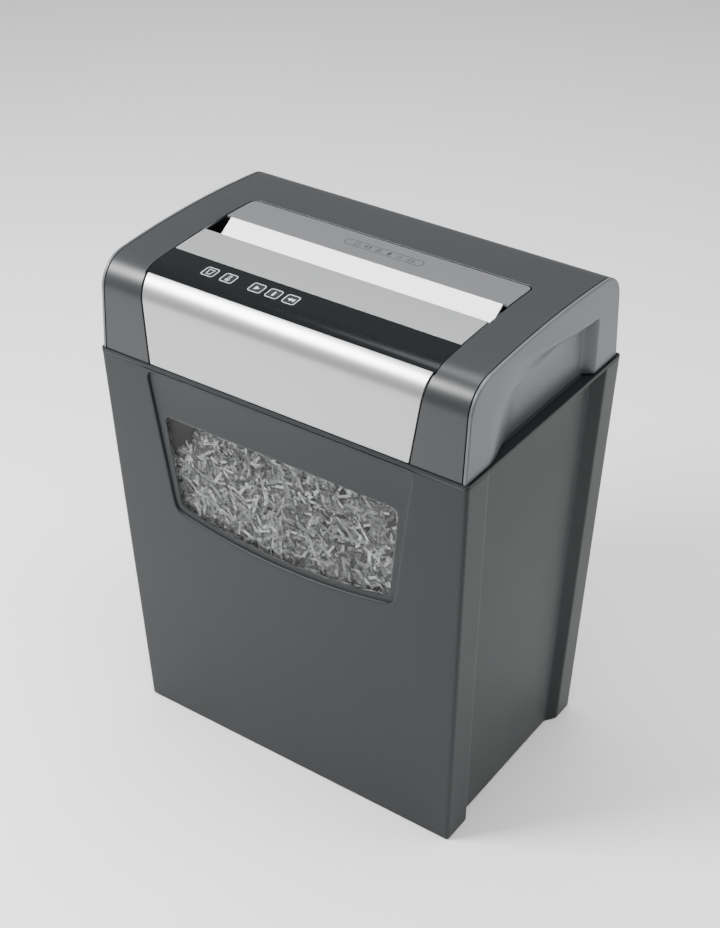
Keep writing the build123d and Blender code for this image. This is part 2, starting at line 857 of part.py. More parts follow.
def make_cutter_bushes():
    bushes = []
    for side in (-1, 1):
        for y in (front_shaft_y, rear_shaft_y):
            b0, b1 = sorted((side * plate_inner, side * plate_outer))
            f0, f1 = sorted((side * (plate_inner - 1.2), side * plate_inner))
            bush = rod_x(bush_radius, b0, b1, y, shaft_z) + rod_x(bush_flange, f0, f1, y, shaft_z)
            bushes.append(bush - rod_x(journal_radius + running_gap, b0 - 5, b1 + 5, y, shaft_z))
    return bushes


def hex_face(flats):
    return RegularPolygon(flats / 2, 6, major_radius=False)


def disc_face(start):
    """A cutting disc: a round blade with hooked notches and a six-sided bore."""
    face = Circle(disc_radius) - hex_face(hex_flats + 2 * hex_gap)
    for i in range(disc_notches):
        turn = start + 360 * i / disc_notches
        notch = make_face(
            Polyline(
                (disc_radius + 1, 0),
                (disc_radius - 3.4, 0.4),
                (disc_radius - 1.2, 4.6),
                (disc_radius + 1, 6.4),
                close=True,
            )
        )
        face -= Rot(0, 0, turn) * notch
    return face.face()


def disc_centre(index, shift):
    """X of one disc; the two shafts' discs stand half a pitch apart."""
    return -stack_half + disc_pitch * (index + 0.25 + 0.5 * shift)


def make_discs(y, shift):
    half = disc_thickness / 2
    discs = []
    for i in range(disc_count):
        x = disc_centre(i, shift)
        turn = disc_stagger * (i % 3)
        discs.append(prism_x(disc_face(turn), x - half, x + half, y, shaft_z))
    return discs


def make_spacers(y, shift):
    ring = (Circle(spacer_radius) - hex_face(hex_flats + 2 * hex_gap)).face()
    spacers = []
    for i in range(disc_count - 1):
        x0 = disc_centre(i, shift) + disc_thickness / 2
        x1 = disc_centre(i + 1, shift) - disc_thickness / 2
        spacers.append(prism_x(ring, x0, x1, y, shaft_z))
    return spacers


def make_cutter_shaft(y, left_reach, right_reach):
    hexed = prism_x(hex_face(hex_flats).face(), -plate_inner + 2, plate_inner - 2, y, shaft_z)
    return hexed + rod_x(journal_radius, -left_reach, right_reach, y, shaft_z)


def make_comb(y, side):
    """A stripper comb: a bar along the outside of one roller, with a finger in each gap."""
    near = y + side * (disc_radius + comb_gap)
    far = near + side * comb_wall
    low = shaft_z - comb_low
    high = shaft_z + comb_high
    y0, y1 = sorted((near, far))
    half = plate_inner - 0.2
    comb = box(-half, half, y0, y1, low, high)
    shift = 0 if side < 0 else 1
    keep = spacer_radius + 0.8
    y0, y1 = sorted((near + side, y + side * 5))
    for i in range(disc_count - 1):
        x = (disc_centre(i, shift) + disc_centre(i + 1, shift)) / 2
        comb += box(x - comb_finger / 2, x + comb_finger / 2, y0, y1, low + 2, high - 2)
    return comb - rod_x(keep, -half - 1, half + 1, y, shaft_z)


# ---------------------------------------------------------------- gears
def involute(angle):
    return tan(angle) - angle


def gear_face(module, teeth, bore, phase):
    """A spur gear: involute flanks over a clearance root, with a tooth pointing at the phase angle."""
    pitch = module * teeth / 2
    base = pitch * cos(pressure_angle)
    tip = pitch + addendum * module
    root = pitch - dedendum * module
    half_tooth = pi / (2 * teeth) - backlash / (4 * pitch)
    start = max(base, root)
    radii = [start + (tip - start) * k / 4 for k in range(5)]
    flank = []
    for r in radii:
        roll = acos(min(base / r, 1.0))
        flank.append((r, half_tooth + involute(pressure_angle) - involute(roll)))
    if root < base:
        flank.insert(0, (root, flank[0][1]))
    points = []
    for i in range(teeth):
        middle = phase + 2 * pi * i / teeth
        rising = [(r, middle - a) for r, a in flank]
        falling = [(r, middle + a) for r, a in reversed(flank)]
        points += [(r * cos(a), r * sin(a)) for r, a in rising + falling]
    face = make_face(Polyline(*points, close=True))
    if bore:
        face -= Circle(bore)
    return face.face()


def meshed_phase(angle, teeth):
    """The phase at which a gear shows a gap towards a neighbour's tooth; the angle points at it."""
    return angle + pi + pi / teeth


def direction(y0, z0, y1, z1):
    return atan2(z1 - z0, y1 - y0)


final_to_second = direction(rear_shaft_y, shaft_z, second_y, second_z)
second_to_first = direction(second_y, second_z, first_y, first_z)
first_to_motor = direction(first_y, first_z, motor_y, motor_z)


def make_final_gear():
    face = gear_face(final_module, final_teeth, journal_radius + press_gap, final_to_second)
    gear = prism_x(face, layer_three, layer_three + final_width, rear_shaft_y, shaft_z)
    hub = rod_x(journal_radius + 4, layer_three - 2, layer_three + 0.2, rear_shaft_y, shaft_z)
    hub -= rod_x(journal_radius + press_gap, layer_three - 5, layer_three + 5, rear_shaft_y, shaft_z)
    return gear + hub


def make_second_gear():
    """The compound gear beside the final gear: a small gear for it and a large one for the next."""
    bore = axle_radius + running_gap
    small = gear_face(
        final_module, third_pinion_teeth, bore, meshed_phase(final_to_second, third_pinion_teeth)
    )
    large = gear_face(second_module, second_teeth, bore, second_to_first)
    part = prism_x(small, layer_three - gear_layer_gap, layer_three + final_width, second_y, second_z)
    part += prism_x(large, layer_two, layer_two + gear_width, second_y, second_z)
    collar = rod_x(axle_radius + 2, plate_outer + 0.4, layer_two + 0.2, second_y, second_z)
    collar -= rod_x(bore, plate_outer - 1, layer_two + 1, second_y, second_z)
    return part + collar


def make_first_gear():
    """The compound gear driven by the motor's pinion."""
    bore = axle_radius + running_gap
    small = gear_face(
        second_module, second_pinion_teeth, bore, meshed_phase(second_to_first, second_pinion_teeth)
    )
    large = gear_face(first_module, first_teeth, bore, first_to_motor)
    part = prism_x(small, layer_two - gear_layer_gap, layer_two + gear_width, first_y, first_z)
    part += prism_x(large, layer_one, layer_one + gear_width, first_y, first_z)
    collar = rod_x(axle_radius + 2, layer_two + gear_width - 0.2, gearbox_inner - 0.4, first_y, first_z)
    collar -= rod_x(bore, layer_two, gearbox_inner + 1, first_y, first_z)
    return part + collar


def make_motor_pinion():
    phase = meshed_phase(first_to_motor, pinion_teeth)
    face = gear_face(first_module, pinion_teeth, motor_shaft_radius - 1.0 + press_gap, phase)
    return prism_x(face, layer_one, layer_one + gear_width, motor_y, motor_z)


def make_motor_shaft():
    """The motor's output shaft, turned down where the pinion sits."""
    thick = rod_x(motor_shaft_radius, plate_inner - 6, layer_one, motor_y, motor_z)
    end = layer_one + gear_width + 1
    return thick + rod_x(motor_shaft_radius - 1.0, layer_one - 1, end, motor_y, motor_z)


def motor_screw_places():
    reach = motor_radius * 0.62
    return [(motor_y, motor_z + reach), (motor_y, motor_z - reach)]


def make_motor():
    x1 = plate_inner
    x0 = x1 - motor_length
    body = rod_x(motor_radius, x0 + 8, x1, motor_y, motor_z)
    cap = rod_x(motor_radius - 2, x0, x0 + 9, motor_y, motor_z)
    tail = rod_x(6, x0 - 4, x0 + 1, motor_y, motor_z)
    motor = body + cap + tail
    motor -= rod_x(motor_shaft_radius + 0.3, x1 - 8, x1 + 1, motor_y, motor_z)
    for y, z in motor_screw_places():
        motor -= rod_x(screw_radius, x1 - 8, x1 + 1, y, z)
    for i in range(4):
        turn = radians(45 + 90 * i)
        y = motor_y + (motor_radius - 1) * cos(turn)
        z = motor_z + (motor_radius - 1) * sin(turn)
        motor -= rod_x(2.2, x0 + 16, x1 - 14, y, z)
    return motor


def make_motor_screws():
    return [
        screw_x(1, plate_outer, y, z, 9, screw_radius - 0.1, 2.6, 1.4) for y, z in motor_screw_places()
    ]


def make_gear_axles():
    places = ((first_y, first_z), (second_y, second_z))
    return [rod_x(axle_radius, plate_inner, gearbox_inner + gearbox_wall, y, z) for y, z in places]


def pillar_places():
    return [(rear_shaft_y - 30, shaft_z - 18), (motor_y + 14, first_z + 14), (motor_y + 14, motor_z - 18)]


def make_gearbox_cover():
    """A steel plate outside the gears on three pillars, carrying the axles' outer ends."""
    places = pillar_places()
    rounds = [(y, z, 7.0) for y, z in places] + [(second_y, second_z, 9.0)]
    outline = make_hull(rounds)
    plate = prism_x(outline, gearbox_inner, gearbox_inner + gearbox_wall)
    for y, z in places:
        plate += rod_x(4.5, plate_outer, gearbox_inner + 0.2, y, z)
        plate -= rod_x(tie_screw_radius, plate_outer - 1, gearbox_inner + 5, y, z)
    for y, z in ((first_y, first_z), (second_y, second_z)):
        plate -= rod_x(axle_radius + press_gap, gearbox_inner - 1, gearbox_inner + 5, y, z)
    plate -= rod_x(journal_radius + 0.6, gearbox_inner - 1, gearbox_inner + 5, rear_shaft_y, shaft_z)
    return plate


def make_hull(rounds):
    """The face inside a tight band round some circles, each given by its centre and radius."""
    ordered = sorted(p for r in rounds for p in round_points(*r))
    lower = half_hull(ordered)
    upper = half_hull(list(reversed(ordered)))
    return make_face(Polyline(*lower[:-1], *upper[:-1], close=True)).face()


def round_points(y, z, radius):
    steps = 24
    turns = [2 * pi * k / steps for k in range(steps)]
    return [(y + radius * cos(t), z + radius * sin(t)) for t in turns]


def half_hull(points):
    """One side of a convex outline, by dropping each point that turns the wrong way."""
    kept = []
    for p in points:
        while len(kept) > 1 and turn_of(kept[-2], kept[-1], p) <= 0:
            kept.pop()
        kept.append(p)
    return kept


def turn_of(a, b, c):
    return (b[0] - a[0]) * (c[1] - a[1]) - (b[1] - a[1]) * (c[0] - a[0])


def make_gearbox_screws():
    outer = gearbox_inner + gearbox_wall
    return [screw_x(1, outer, y, z, 16, tie_screw_radius - 0.1, 3.4, 1.4) for y, z in pillar_places()]


def make_timing_gear(y, phase):
    face = gear_face(timing_module, timing_teeth, journal_radius + press_gap, phase)
    x1 = -plate_outer - timing_gap
    gear = prism_x(face, x1 - timing_width, x1, y, shaft_z)
    hub = rod_x(journal_radius + 3, x1 - 0.2, x1 + 1, y, shaft_z)
    return gear + hub - rod_x(journal_radius + press_gap, x1 - 20, x1 + 5, y, shaft_z)


# ---------------------------------------------------------------- electrics
def board_block(x, depth_y, size_x, size_y, near, far):
    """A block square to the control strip, at a place on the control board."""
    frame = surface_frame(x, button_y).offset(-near)
    return extrude(frame * Pos(0, depth_y) * Rectangle(size_x, size_y), amount=-(far - near))


def make_control_board():
    under = board_drop + board_thickness
    return board_block(control_board_x, 0, control_board_length, control_board_depth, board_drop, under)


def make_tact_switches():
    switches = []
    for x in button_places():
        body = board_block(x, 0, switch_size, switch_size, board_drop - switch_height + 0.8, board_drop)
        frame = surface_frame(x, button_y).offset(-(board_drop - switch_height))
        switches.append(body + extrude(frame * Circle(1.7), amount=-1))
    return switches


def make_status_leds():
    leds = []
    for x in lens_x:
        frame = surface_frame(x, button_y).offset(-(board_drop - led_height))
        bulb = extrude(frame * Circle(led_radius), amount=-led_height)
        foot = surface_frame(x, button_y).offset(-(board_drop - 1))
        leds.append(bulb + extrude(foot * Circle(led_radius + 0.4), amount=-1))
    return leds


def board_places():
    margin = 4.0
    reach_x = power_board_length / 2 - margin
    reach_y = power_board_width / 2 - margin
    return [(power_board_x + sx * reach_x, power_board_y + sy * reach_y) for sx in (-1, 1) for sy in (-1, 1)]


def make_power_board():
    z = tray_top + board_post + board_thickness / 2
    board = Pos(power_board_x, power_board_y, z) * Box(power_board_length, power_board_width, board_thickness)
    for x, y in board_places():
        board -= rod_z(screw_radius + 0.2, x, y, z - 2, z + 2)
    return board


def make_board_components():
    """Relay, smoothing capacitor, fuse holder, choke and terminal block on the power board."""
    x = power_board_x
    y = power_board_y
    z = tray_top + board_post + board_thickness
    relay = box(x - 24, x - 5, y - 18, y - 2, z, z + 16)
    capacitor = rod_z(9, x + 8, y - 8, z, z + 26)
    fuse = box(x - 26, x, y + 4, y + 12, z, z + 9)
    choke = rod_z(8, x + 20, y + 12, z, z + 12) - rod_z(3, x + 20, y + 12, z - 1, z + 13)
    terminals = box(x - 26, x - 2, y + 17, y + 25, z, z + 10)
    return [relay, capacitor, fuse, choke, terminals]


def make_board_screws():
    top = tray_top + board_post + board_thickness
    return [screw(x, y, top, board_post, up=False) for x, y in board_places()]


def make_interlock_plunger():
    tip = tray_bottom - plunger_reach
    low = tray_top + seat_gap
    pin = rod_z(plunger_radius, post_x, post_y, tip, tray_top + plunger_length)
    return pin + rod_z(plunger_collar, post_x, post_y, low, low + plunger_collar_height)


def spring_place():
    """Lowest and highest point of the return spring."""
    low = tray_top + seat_gap + plunger_collar_height
    return low, tray_top + plunger_length + plunger_travel + spring_room


def make_interlock_spring():
    """The return spring round the plunger, between its collar and the switch bracket."""
    low, high = spring_place()
    reach = high - low - 2 * spring_wire
    path = Helix(pitch=spring_pitch, height=reach, radius=plunger_radius + spring_wire + spring_room)
    start = path.position_at(0)
    wire = sweep(Plane(origin=start, z_dir=path.tangent_at(0)) * Circle(spring_wire), path, is_frenet=True)
    return Pos(post_x, post_y, low + spring_wire + 0.05) * wire


def make_microswitch():
    """The interlock switch on its bracket over the plunger."""
    top = spring_place()[1]
    x0 = post_x - bracket_half
    x1 = post_x + bracket_half
    y0 = post_y - bracket_half / 2
    y1 = post_y + bracket_half / 2
    lid = top + switch_body_height
    part = box(x0, x1, y0, y1, top, top + bracket_wall)
    part += box(x0, x0 + bracket_leg, y0, y1, tray_top, top + 0.1)
    part += box(x1 - bracket_leg, x1, y0, y1, tray_top, top + 0.1)
    part += box(x0, x1, post_y - 3.2, post_y + 3.2, top + bracket_wall, lid)
    for x in (post_x - 5, post_x + 5):
        part += box(x - 1, x + 1, post_y - 0.4, post_y + 0.4, lid - 0.2, lid + 4)
    return part - rod_z(plunger_radius + plunger_gap, post_x, post_y, top - 1, top + 2.4)


def make_sensor(side):
    """One half of the light gate that sees paper in the slot, on the outside of a slot wall."""
    wall = throat_front if side < 0 else throat_rear + guide_wall
    y0, y1 = sorted((wall, wall + side * 6))
    z = shaft_z + disc_radius + 12
    return box(-5, 5, y0, y1, z - 5, z + 5)


def make_cord_gland():
    place = rear_face_plane()
    gland = place * Cylinder(gland_radius - 0.1, gland_length)
    gland += place * Pos(0, 0, -1.1) * Cylinder(gland_flange, 2)
    gland += place * Pos(0, 0, shell_wall + 0.7) * Cylinder(gland_radius + 1.2, 1.2)
    return gland - place * Cylinder(gland_bore, 40)


# ---------------------------------------------------------------- build
def build():
    os.makedirs("parts", exist_ok=True)
    right_panel = make_right_side_panel()
    front_x, stop_x, reverse_x = button_places()
    left_end = plate_outer + timing_gap + timing_width + 1
    right_end = layer_three + final_width + 0.8
    parts = {
        "bin_shell": make_bin_shell(),
        "window_pane": make_window_pane(),
        "paper_shreds": make_paper_shreds(),
        "top_cover": make_top_cover(),
        "right_side_panel": right_panel,
        "left_side_panel": mirror(right_panel, Plane.YZ),
        "front_panel": make_front_panel(),
        "control_strip": make_control_strip(),
        "front_guide": make_front_guide(),
        "rear_guide": make_rear_guide(),
        "lower_tray": make_lower_tray(),
        "case_screws": make_case_screws(),
        "forward_button": make_button(front_x),
        "stop_button": make_button(stop_x),
        "reverse_button": make_button(reverse_x),
        "bin_full_lens": make_lens(lens_x[0]),
        "overheat_lens": make_lens(lens_x[1]),
        "left_cutter_plate": make_cutter_plate(-1),
        "right_cutter_plate": make_cutter_plate(1),
        "tie_rods": make_tie_rods(),
        "tie_rod_screws": make_tie_screws(),
        "plate_screws": make_plate_screws(),
        "cutter_bushes": make_cutter_bushes(),
        "front_cutter_shaft": make_cutter_shaft(front_shaft_y, left_end, plate_outer + 0.8),
        "rear_cutter_shaft": make_cutter_shaft(rear_shaft_y, left_end, right_end),
        "front_cutter_discs": make_discs(front_shaft_y, 0),
        "rear_cutter_discs": make_discs(rear_shaft_y, 1),
        "front_disc_spacers": make_spacers(front_shaft_y, 0),
        "rear_disc_spacers": make_spacers(rear_shaft_y, 1),
        "front_stripper_comb": make_comb(front_shaft_y, -1),
        "rear_stripper_comb": make_comb(rear_shaft_y, 1),
        "front_timing_gear": make_timing_gear(front_shaft_y, 0.0),
        "rear_timing_gear": make_timing_gear(rear_shaft_y, meshed_phase(0.0, timing_teeth)),
        "final_gear": make_final_gear(),
        "second_gear": make_second_gear(),
        "first_gear": make_first_gear(),
        "motor_pinion": make_motor_pinion(),
        "motor_shaft": make_motor_shaft(),
        "motor": make_motor(),
        "motor_screws": make_motor_screws(),
        "gear_axles": make_gear_axles(),
        "gearbox_cover": make_gearbox_cover(),
        "gearbox_screws": make_gearbox_screws(),
        "control_board": make_control_board(),
        "button_switches": make_tact_switches(),
        "status_leds": make_status_leds(),
        "power_board": make_power_board(),
        "board_components": make_board_components(),
        "board_screws": make_board_screws(),
        "interlock_plunger": make_interlock_plunger(),
        "interlock_spring": make_interlock_spring(),
        "interlock_switch": make_microswitch(),
        "paper_sensor_emitter": make_sensor(-1),
        "paper_sensor_receiver": make_sensor(1),
        "cord_gland": make_cord_gland(),
    }
    for name, shape in parts.items():
        write(name, shape)


build()
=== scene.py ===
import json
import math
from math import pi

import bmesh
import bpy
import numpy as np
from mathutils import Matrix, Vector
from numpy import array, concatenate, linspace, stack


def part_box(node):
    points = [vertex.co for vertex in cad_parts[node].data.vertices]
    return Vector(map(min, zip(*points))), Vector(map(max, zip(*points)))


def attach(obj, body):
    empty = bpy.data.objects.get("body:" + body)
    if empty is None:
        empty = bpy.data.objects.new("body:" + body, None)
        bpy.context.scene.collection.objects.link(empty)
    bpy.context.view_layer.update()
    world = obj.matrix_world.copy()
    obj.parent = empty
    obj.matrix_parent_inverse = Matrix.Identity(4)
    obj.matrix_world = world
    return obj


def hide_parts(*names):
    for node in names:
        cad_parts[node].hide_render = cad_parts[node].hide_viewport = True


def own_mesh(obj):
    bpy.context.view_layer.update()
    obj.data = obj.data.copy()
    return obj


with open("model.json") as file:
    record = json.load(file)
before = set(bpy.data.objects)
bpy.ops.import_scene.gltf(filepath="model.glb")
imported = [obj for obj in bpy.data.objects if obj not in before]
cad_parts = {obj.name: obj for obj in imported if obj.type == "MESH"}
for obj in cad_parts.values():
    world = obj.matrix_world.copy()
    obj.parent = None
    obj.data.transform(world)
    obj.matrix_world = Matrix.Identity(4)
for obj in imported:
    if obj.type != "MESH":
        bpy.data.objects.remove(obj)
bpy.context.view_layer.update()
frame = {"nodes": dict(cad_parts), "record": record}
mm = 0.001  # shapes are worked out in millimetres and made in metres
panelLow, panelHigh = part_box("right_side_panel")
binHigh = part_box("bin_shell")[1]
deck = panelLow.z / mm  # lower edge of the head's shell
shellHalf = panelHigh.x / mm
shellFront = panelLow.y / mm
shellRear = panelHigh.y / mm
rim = binHigh.z / mm
chuteTop = shellFront + 108.0  # front edge of the rear guide's top


# a sum, product or comparison as a Math node
def onSockets(operation, swapped=False):
    def work(self, other):
        pair = (other, self) if swapped else (self, other)
        return self.node("Math", {"operation": operation}, dict(enumerate(pair)))

    return work


# a socket in a material; sums and products on it add Math nodes
class Flow:
    def __init__(self, tree, socket=None):
        self.tree = tree
        self.socket = socket

    # any node: its type, its settings, then the values or links of its sockets
    def node(self, kind, settings, sockets, output=0):
        made = self.tree.nodes.new("ShaderNode" + kind)
        for key, value in settings.items():
            if key == "stops":
                while len(made.color_ramp.elements) < len(value):
                    made.color_ramp.elements.new(0.5)
                for element, (place, tone) in zip(made.color_ramp.elements, value):
                    element.position = place
                    element.color = (tone, tone, tone, 1.0)
            else:
                setattr(made, key, value)
        for key, value in sockets.items():
            if isinstance(value, Flow):
                self.tree.links.new(value.socket, made.inputs[key])
            else:
                made.inputs[key].default_value = value
        return Flow(self.tree, made.outputs[output])

    __add__ = __radd__ = onSockets("ADD")
    __mul__ = __rmul__ = onSockets("MULTIPLY")
    __sub__ = onSockets("SUBTRACT")
    __rsub__ = onSockets("SUBTRACT", swapped=True)
    __truediv__ = onSockets("DIVIDE")
    __gt__ = onSockets("GREATER_THAN")
    __lt__ = onSockets("LESS_THAN")

    # from 0 to 1 as the value goes from low to high
    def between(self, low, high):
        return self.node("MapRange", {"clamp": True}, {0: self, 1: low, 2: high})

    def place(self):
        return self.node("TexCoord", {}, {}, "Object")

    def axis(self, name):
        return self.node("SeparateXYZ", {}, {0: self.place()}, name)

    # distance from the middle plane
    def across(self):
        return self.node("Math", {"operation": "ABSOLUTE"}, {0: self.axis("X")})

    def noise(self, scale, detail, rough=0.5, vector=None):
        sockets = {"Vector": vector or self.place(), "Scale": scale, "Detail": detail, "Roughness": rough}
        return self.node("TexNoise", {}, sockets)

    def stretched(self, scale):
        return self.node("VectorMath", {"operation": "MULTIPLY"}, {0: self.place(), 1: scale})

    def blend(self, factor, first, second):
        return self.node("Mix", {"data_type": "RGBA"}, {0: factor, 6: first, 7: second}, 2)

    def bump(self, height, distance):
        return self.node("Bump", {}, {"Height": height, "Distance": distance, "Strength": 1.0})


# a new material: its name, the shader's fixed values, and a function that gives what varies over it
def newMaterial(name, fixed, varying):
    material = bpy.data.materials.new(name)
    material.use_nodes = True
    tree = material.node_tree
    shader = tree.nodes["Principled BSDF"]
    for key, value in fixed.items():
        shader.inputs[key].default_value = value
    for key, value in varying(Flow(tree)).items():
        tree.links.new(value.socket, shader.inputs[key])
    return material


def tinted(colour, gain):
    return (*[c * gain for c in colour[:3]], 1.0)


# moulded plastic: a fine spark-eroded grain over a faint flow pattern, a little uneven in gloss;
# where the mask is 1 the colour is lighter by a factor, which is painted light: a lit copy of the same
# plastic
def plastic(name, colour, gloss, grain=0.02, coat=0.0, shine=0.5, where=None, lighter=1.0):
    def varying(f):
        cloud = f.noise(9.0, 3.0)
        flow = f.noise(1.6, 2.0, vector=f.stretched((1.0, 1.0, 4.0)))
        fine = f.noise(2600.0, 2.0, 0.6)
        coarse = f.noise(950.0, 2.0)
        tone = f.blend(cloud.between(0.3, 0.7), tinted(colour, 0.93), tinted(colour, 1.08))
        base = f.blend(flow.between(0.35, 0.65), tone, tinted(colour, 1.0))
        # painted light: the masked faces take the lighter copy of the colour
        if where:
            base = f.blend(where(f), base, tinted(colour, lighter))
        return {
            "Base Color": base,
            "Roughness": gloss + 0.05 * cloud.between(0.3, 0.7) + 0.04 * coarse,
            "Normal": f.bump(0.6 * fine + 0.4 * coarse, grain * mm),
        }

    fixed = {"Coat Weight": coat, "Coat Roughness": 0.12, "Specular IOR Level": shine}
    return newMaterial(name, fixed, varying)


# silver paint on plastic: bright flakes in a metallic base under a thin lacquer;
# in front of the split on Y the colour is brighter by a factor
def silverPaint(name, colour, gloss, metal=0.85, split=None, ahead=1.0):
    def varying(f):
        flakes = f.node("TexVoronoi", {}, {"Vector": f.place(), "Scale": 2800.0}, "Color")
        flake = f.node("SeparateColor", {}, {0: flakes}, 0)
        cloud = f.noise(14.0, 3.0)
        tone = f.blend(flake, tinted(colour, 0.9), tinted(colour, 1.08))
        base = f.blend(cloud.between(0.3, 0.7), tone, tinted(colour, 0.99))
        if split:
            base = f.blend(f.axis("Y") < split * mm, base, tinted(colour, ahead))
        return {
            "Base Color": base,
            "Roughness": gloss + 0.03 * cloud + 0.05 * flake,
            "Metallic": metal - 0.1 * flake,
            "Normal": f.bump(0.5 * flake + f.noise(420.0, 2.0), 0.012 * mm),
        }

    return newMaterial(name, {"Coat Weight": 0.25, "Coat Roughness": 0.16}, varying)


# polished black plastic: almost smooth, with hairline wiping marks in its gloss
def glossBlack(name, colour, gloss):
    def varying(f):
        wipe = f.noise(60.0, 4.0, vector=f.stretched((1.0, 7.0, 7.0)))
        dust = f.noise(700.0, 1.0)
        return {
            "Base Color": f.blend(dust.between(0.5, 0.8), tinted(colour, 1.0), tinted(colour, 1.5)),
            "Roughness": gloss + 0.08 * wipe.between(0.45, 0.8),
            "Normal": f.bump(f.noise(45.0, 2.0), 0.02 * mm),
        }

    return newMaterial(name, {"Specular IOR Level": 0.16}, varying)


# clear acrylic: almost colourless and smooth, with a slight ripple from moulding
def clearPane(name):
    def varying(f):
        return {
            "Roughness": 0.03 + 0.05 * f.noise(30.0, 3.0).between(0.4, 0.8),
            "Normal": f.bump(f.noise(22.0, 1.0), 0.03 * mm),
        }

    fixed = {"Base Color": (0.93, 0.94, 0.945, 1.0), "Transmission Weight": 1.0, "IOR": 1.16}
    return newMaterial(name, fixed, varying)


# cut paper: each strip has its own grey from its tone attribute, with fibres and short printed marks
def shreddedPaper(name):
    def varying(f):
        tone = f.node("Attribute", {"attribute_name": "tone"}, {}, "Fac")
        printing = f.noise(900.0, 2.0, vector=f.stretched((1.0, 0.35, 1.0)))
        fibre = f.noise(2200.0, 2.0)
        greys = [(0.0, 0.02), (0.35, 0.095), (0.7, 0.29), (1.0, 0.66)]
        paper = f.node("ValToRGB", {"stops": greys}, {0: tone})
        marks = printing.between(0.56, 0.62) * 0.45
        return {
            "Base Color": f.blend(marks, paper, (0.05, 0.052, 0.056, 1.0)),
            "Roughness": 0.72 + 0.2 * fibre,
            "Normal": f.bump(fibre, 0.05 * mm),
        }

    return newMaterial(name, {"Specular IOR Level": 0.25}, varying)


# ground or drawn steel: fine marks, long on the axes where their scale is small; darker where oil lies
def steel(name, colour, gloss, along=(0.02, 1.0, 1.0)):
    def varying(f):
        marks = f.noise(1500.0, 3.0, 0.6, vector=f.stretched(along))
        oil = f.noise(55.0, 4.0)
        tone = f.blend(oil.between(0.35, 0.7), tinted(colour, 0.78), tinted(colour, 1.05))
        return {
            "Base Color": f.blend(marks.between(0.3, 0.7), tone, tinted(colour, 1.1)),
            "Roughness": gloss + 0.12 * marks.between(0.3, 0.7) + 0.08 * oil,
            "Metallic": 1.0 - 0.12 * oil.between(0.6, 0.8),
            "Normal": f.bump(marks, 0.015 * mm),
        }

    return newMaterial(name, {}, varying)


# circuit board lacquer: faint copper tracks under green
def boardLacquer(name, colour):
    def varying(f):
        layout = {"Vector": f.place(), "Scale": 210.0, "Mortar Size": 0.03}
        tracks = f.node("TexBrick", {"offset": 0.5}, layout, "Fac")
        cloud = f.noise(120.0, 2.0)
        return {
            "Base Color": f.blend(tracks, tinted(colour, 1.0), (0.12, 0.36, 0.13, 1.0)),
            "Roughness": 0.32 + 0.2 * cloud,
            "Normal": f.bump(tracks, 0.04 * mm),
        }

    return newMaterial(name, {"Coat Weight": 0.3}, varying)


# printed mark: pale screen ink, slightly patchy
def screenInk(name, colour):
    def varying(f):
        grain = f.noise(3000.0, 2.0)
        return {
            "Base Color": f.blend(grain.between(0.3, 0.7), tinted(colour, 0.85), tinted(colour, 1.05)),
            "Roughness": 0.4 + 0.2 * grain,
        }

    return newMaterial(name, {}, varying)


# studio floor: white paper with the slightest mottle
def paperFloor(name, colour):
    def varying(f):
        mottle = f.noise(6.0, 3.0)
        return {
            "Base Color": f.blend(mottle, tinted(colour, 0.99), tinted(colour, 1.0)),
            "Roughness": 0.55 + 0.1 * mottle,
        }

    return newMaterial(name, {"Specular IOR Level": 0.2}, varying)


# where the bin's inside and the tray's sides are painted lighter, as painted light
litAreas = {
    "traySide": 138.0, "trayFront": -97.0, "taper": 9.4, "lean": 11.0, "side": binHigh.x / mm - 9.7,
    "rear": binHigh.y / mm - 1.2, "front": 4.9 - binHigh.y / mm,
}


# 1 on the sides of the tray, behind its front corners; the tray is painted lighter there, as painted light
# from the side
def litTraySides(f):
    return (f.across() > litAreas["traySide"] * mm) * (f.axis("Y") > litAreas["trayFront"] * mm)


# 1 on the bin's inner walls, which lean in with the height missing to the rim; the bin is painted lighter
# there, as painted light on its inside
def litBinInside(f):
    fall = (rim * mm - f.axis("Z")) / (rim * mm)
    taper, lean = litAreas["taper"] * mm * fall, litAreas["lean"] * mm * fall
    side = f.across() + taper < litAreas["side"] * mm
    rear = f.axis("Y") + lean < litAreas["rear"] * mm
    return side * rear * (f.axis("Y") - lean > litAreas["front"] * mm)


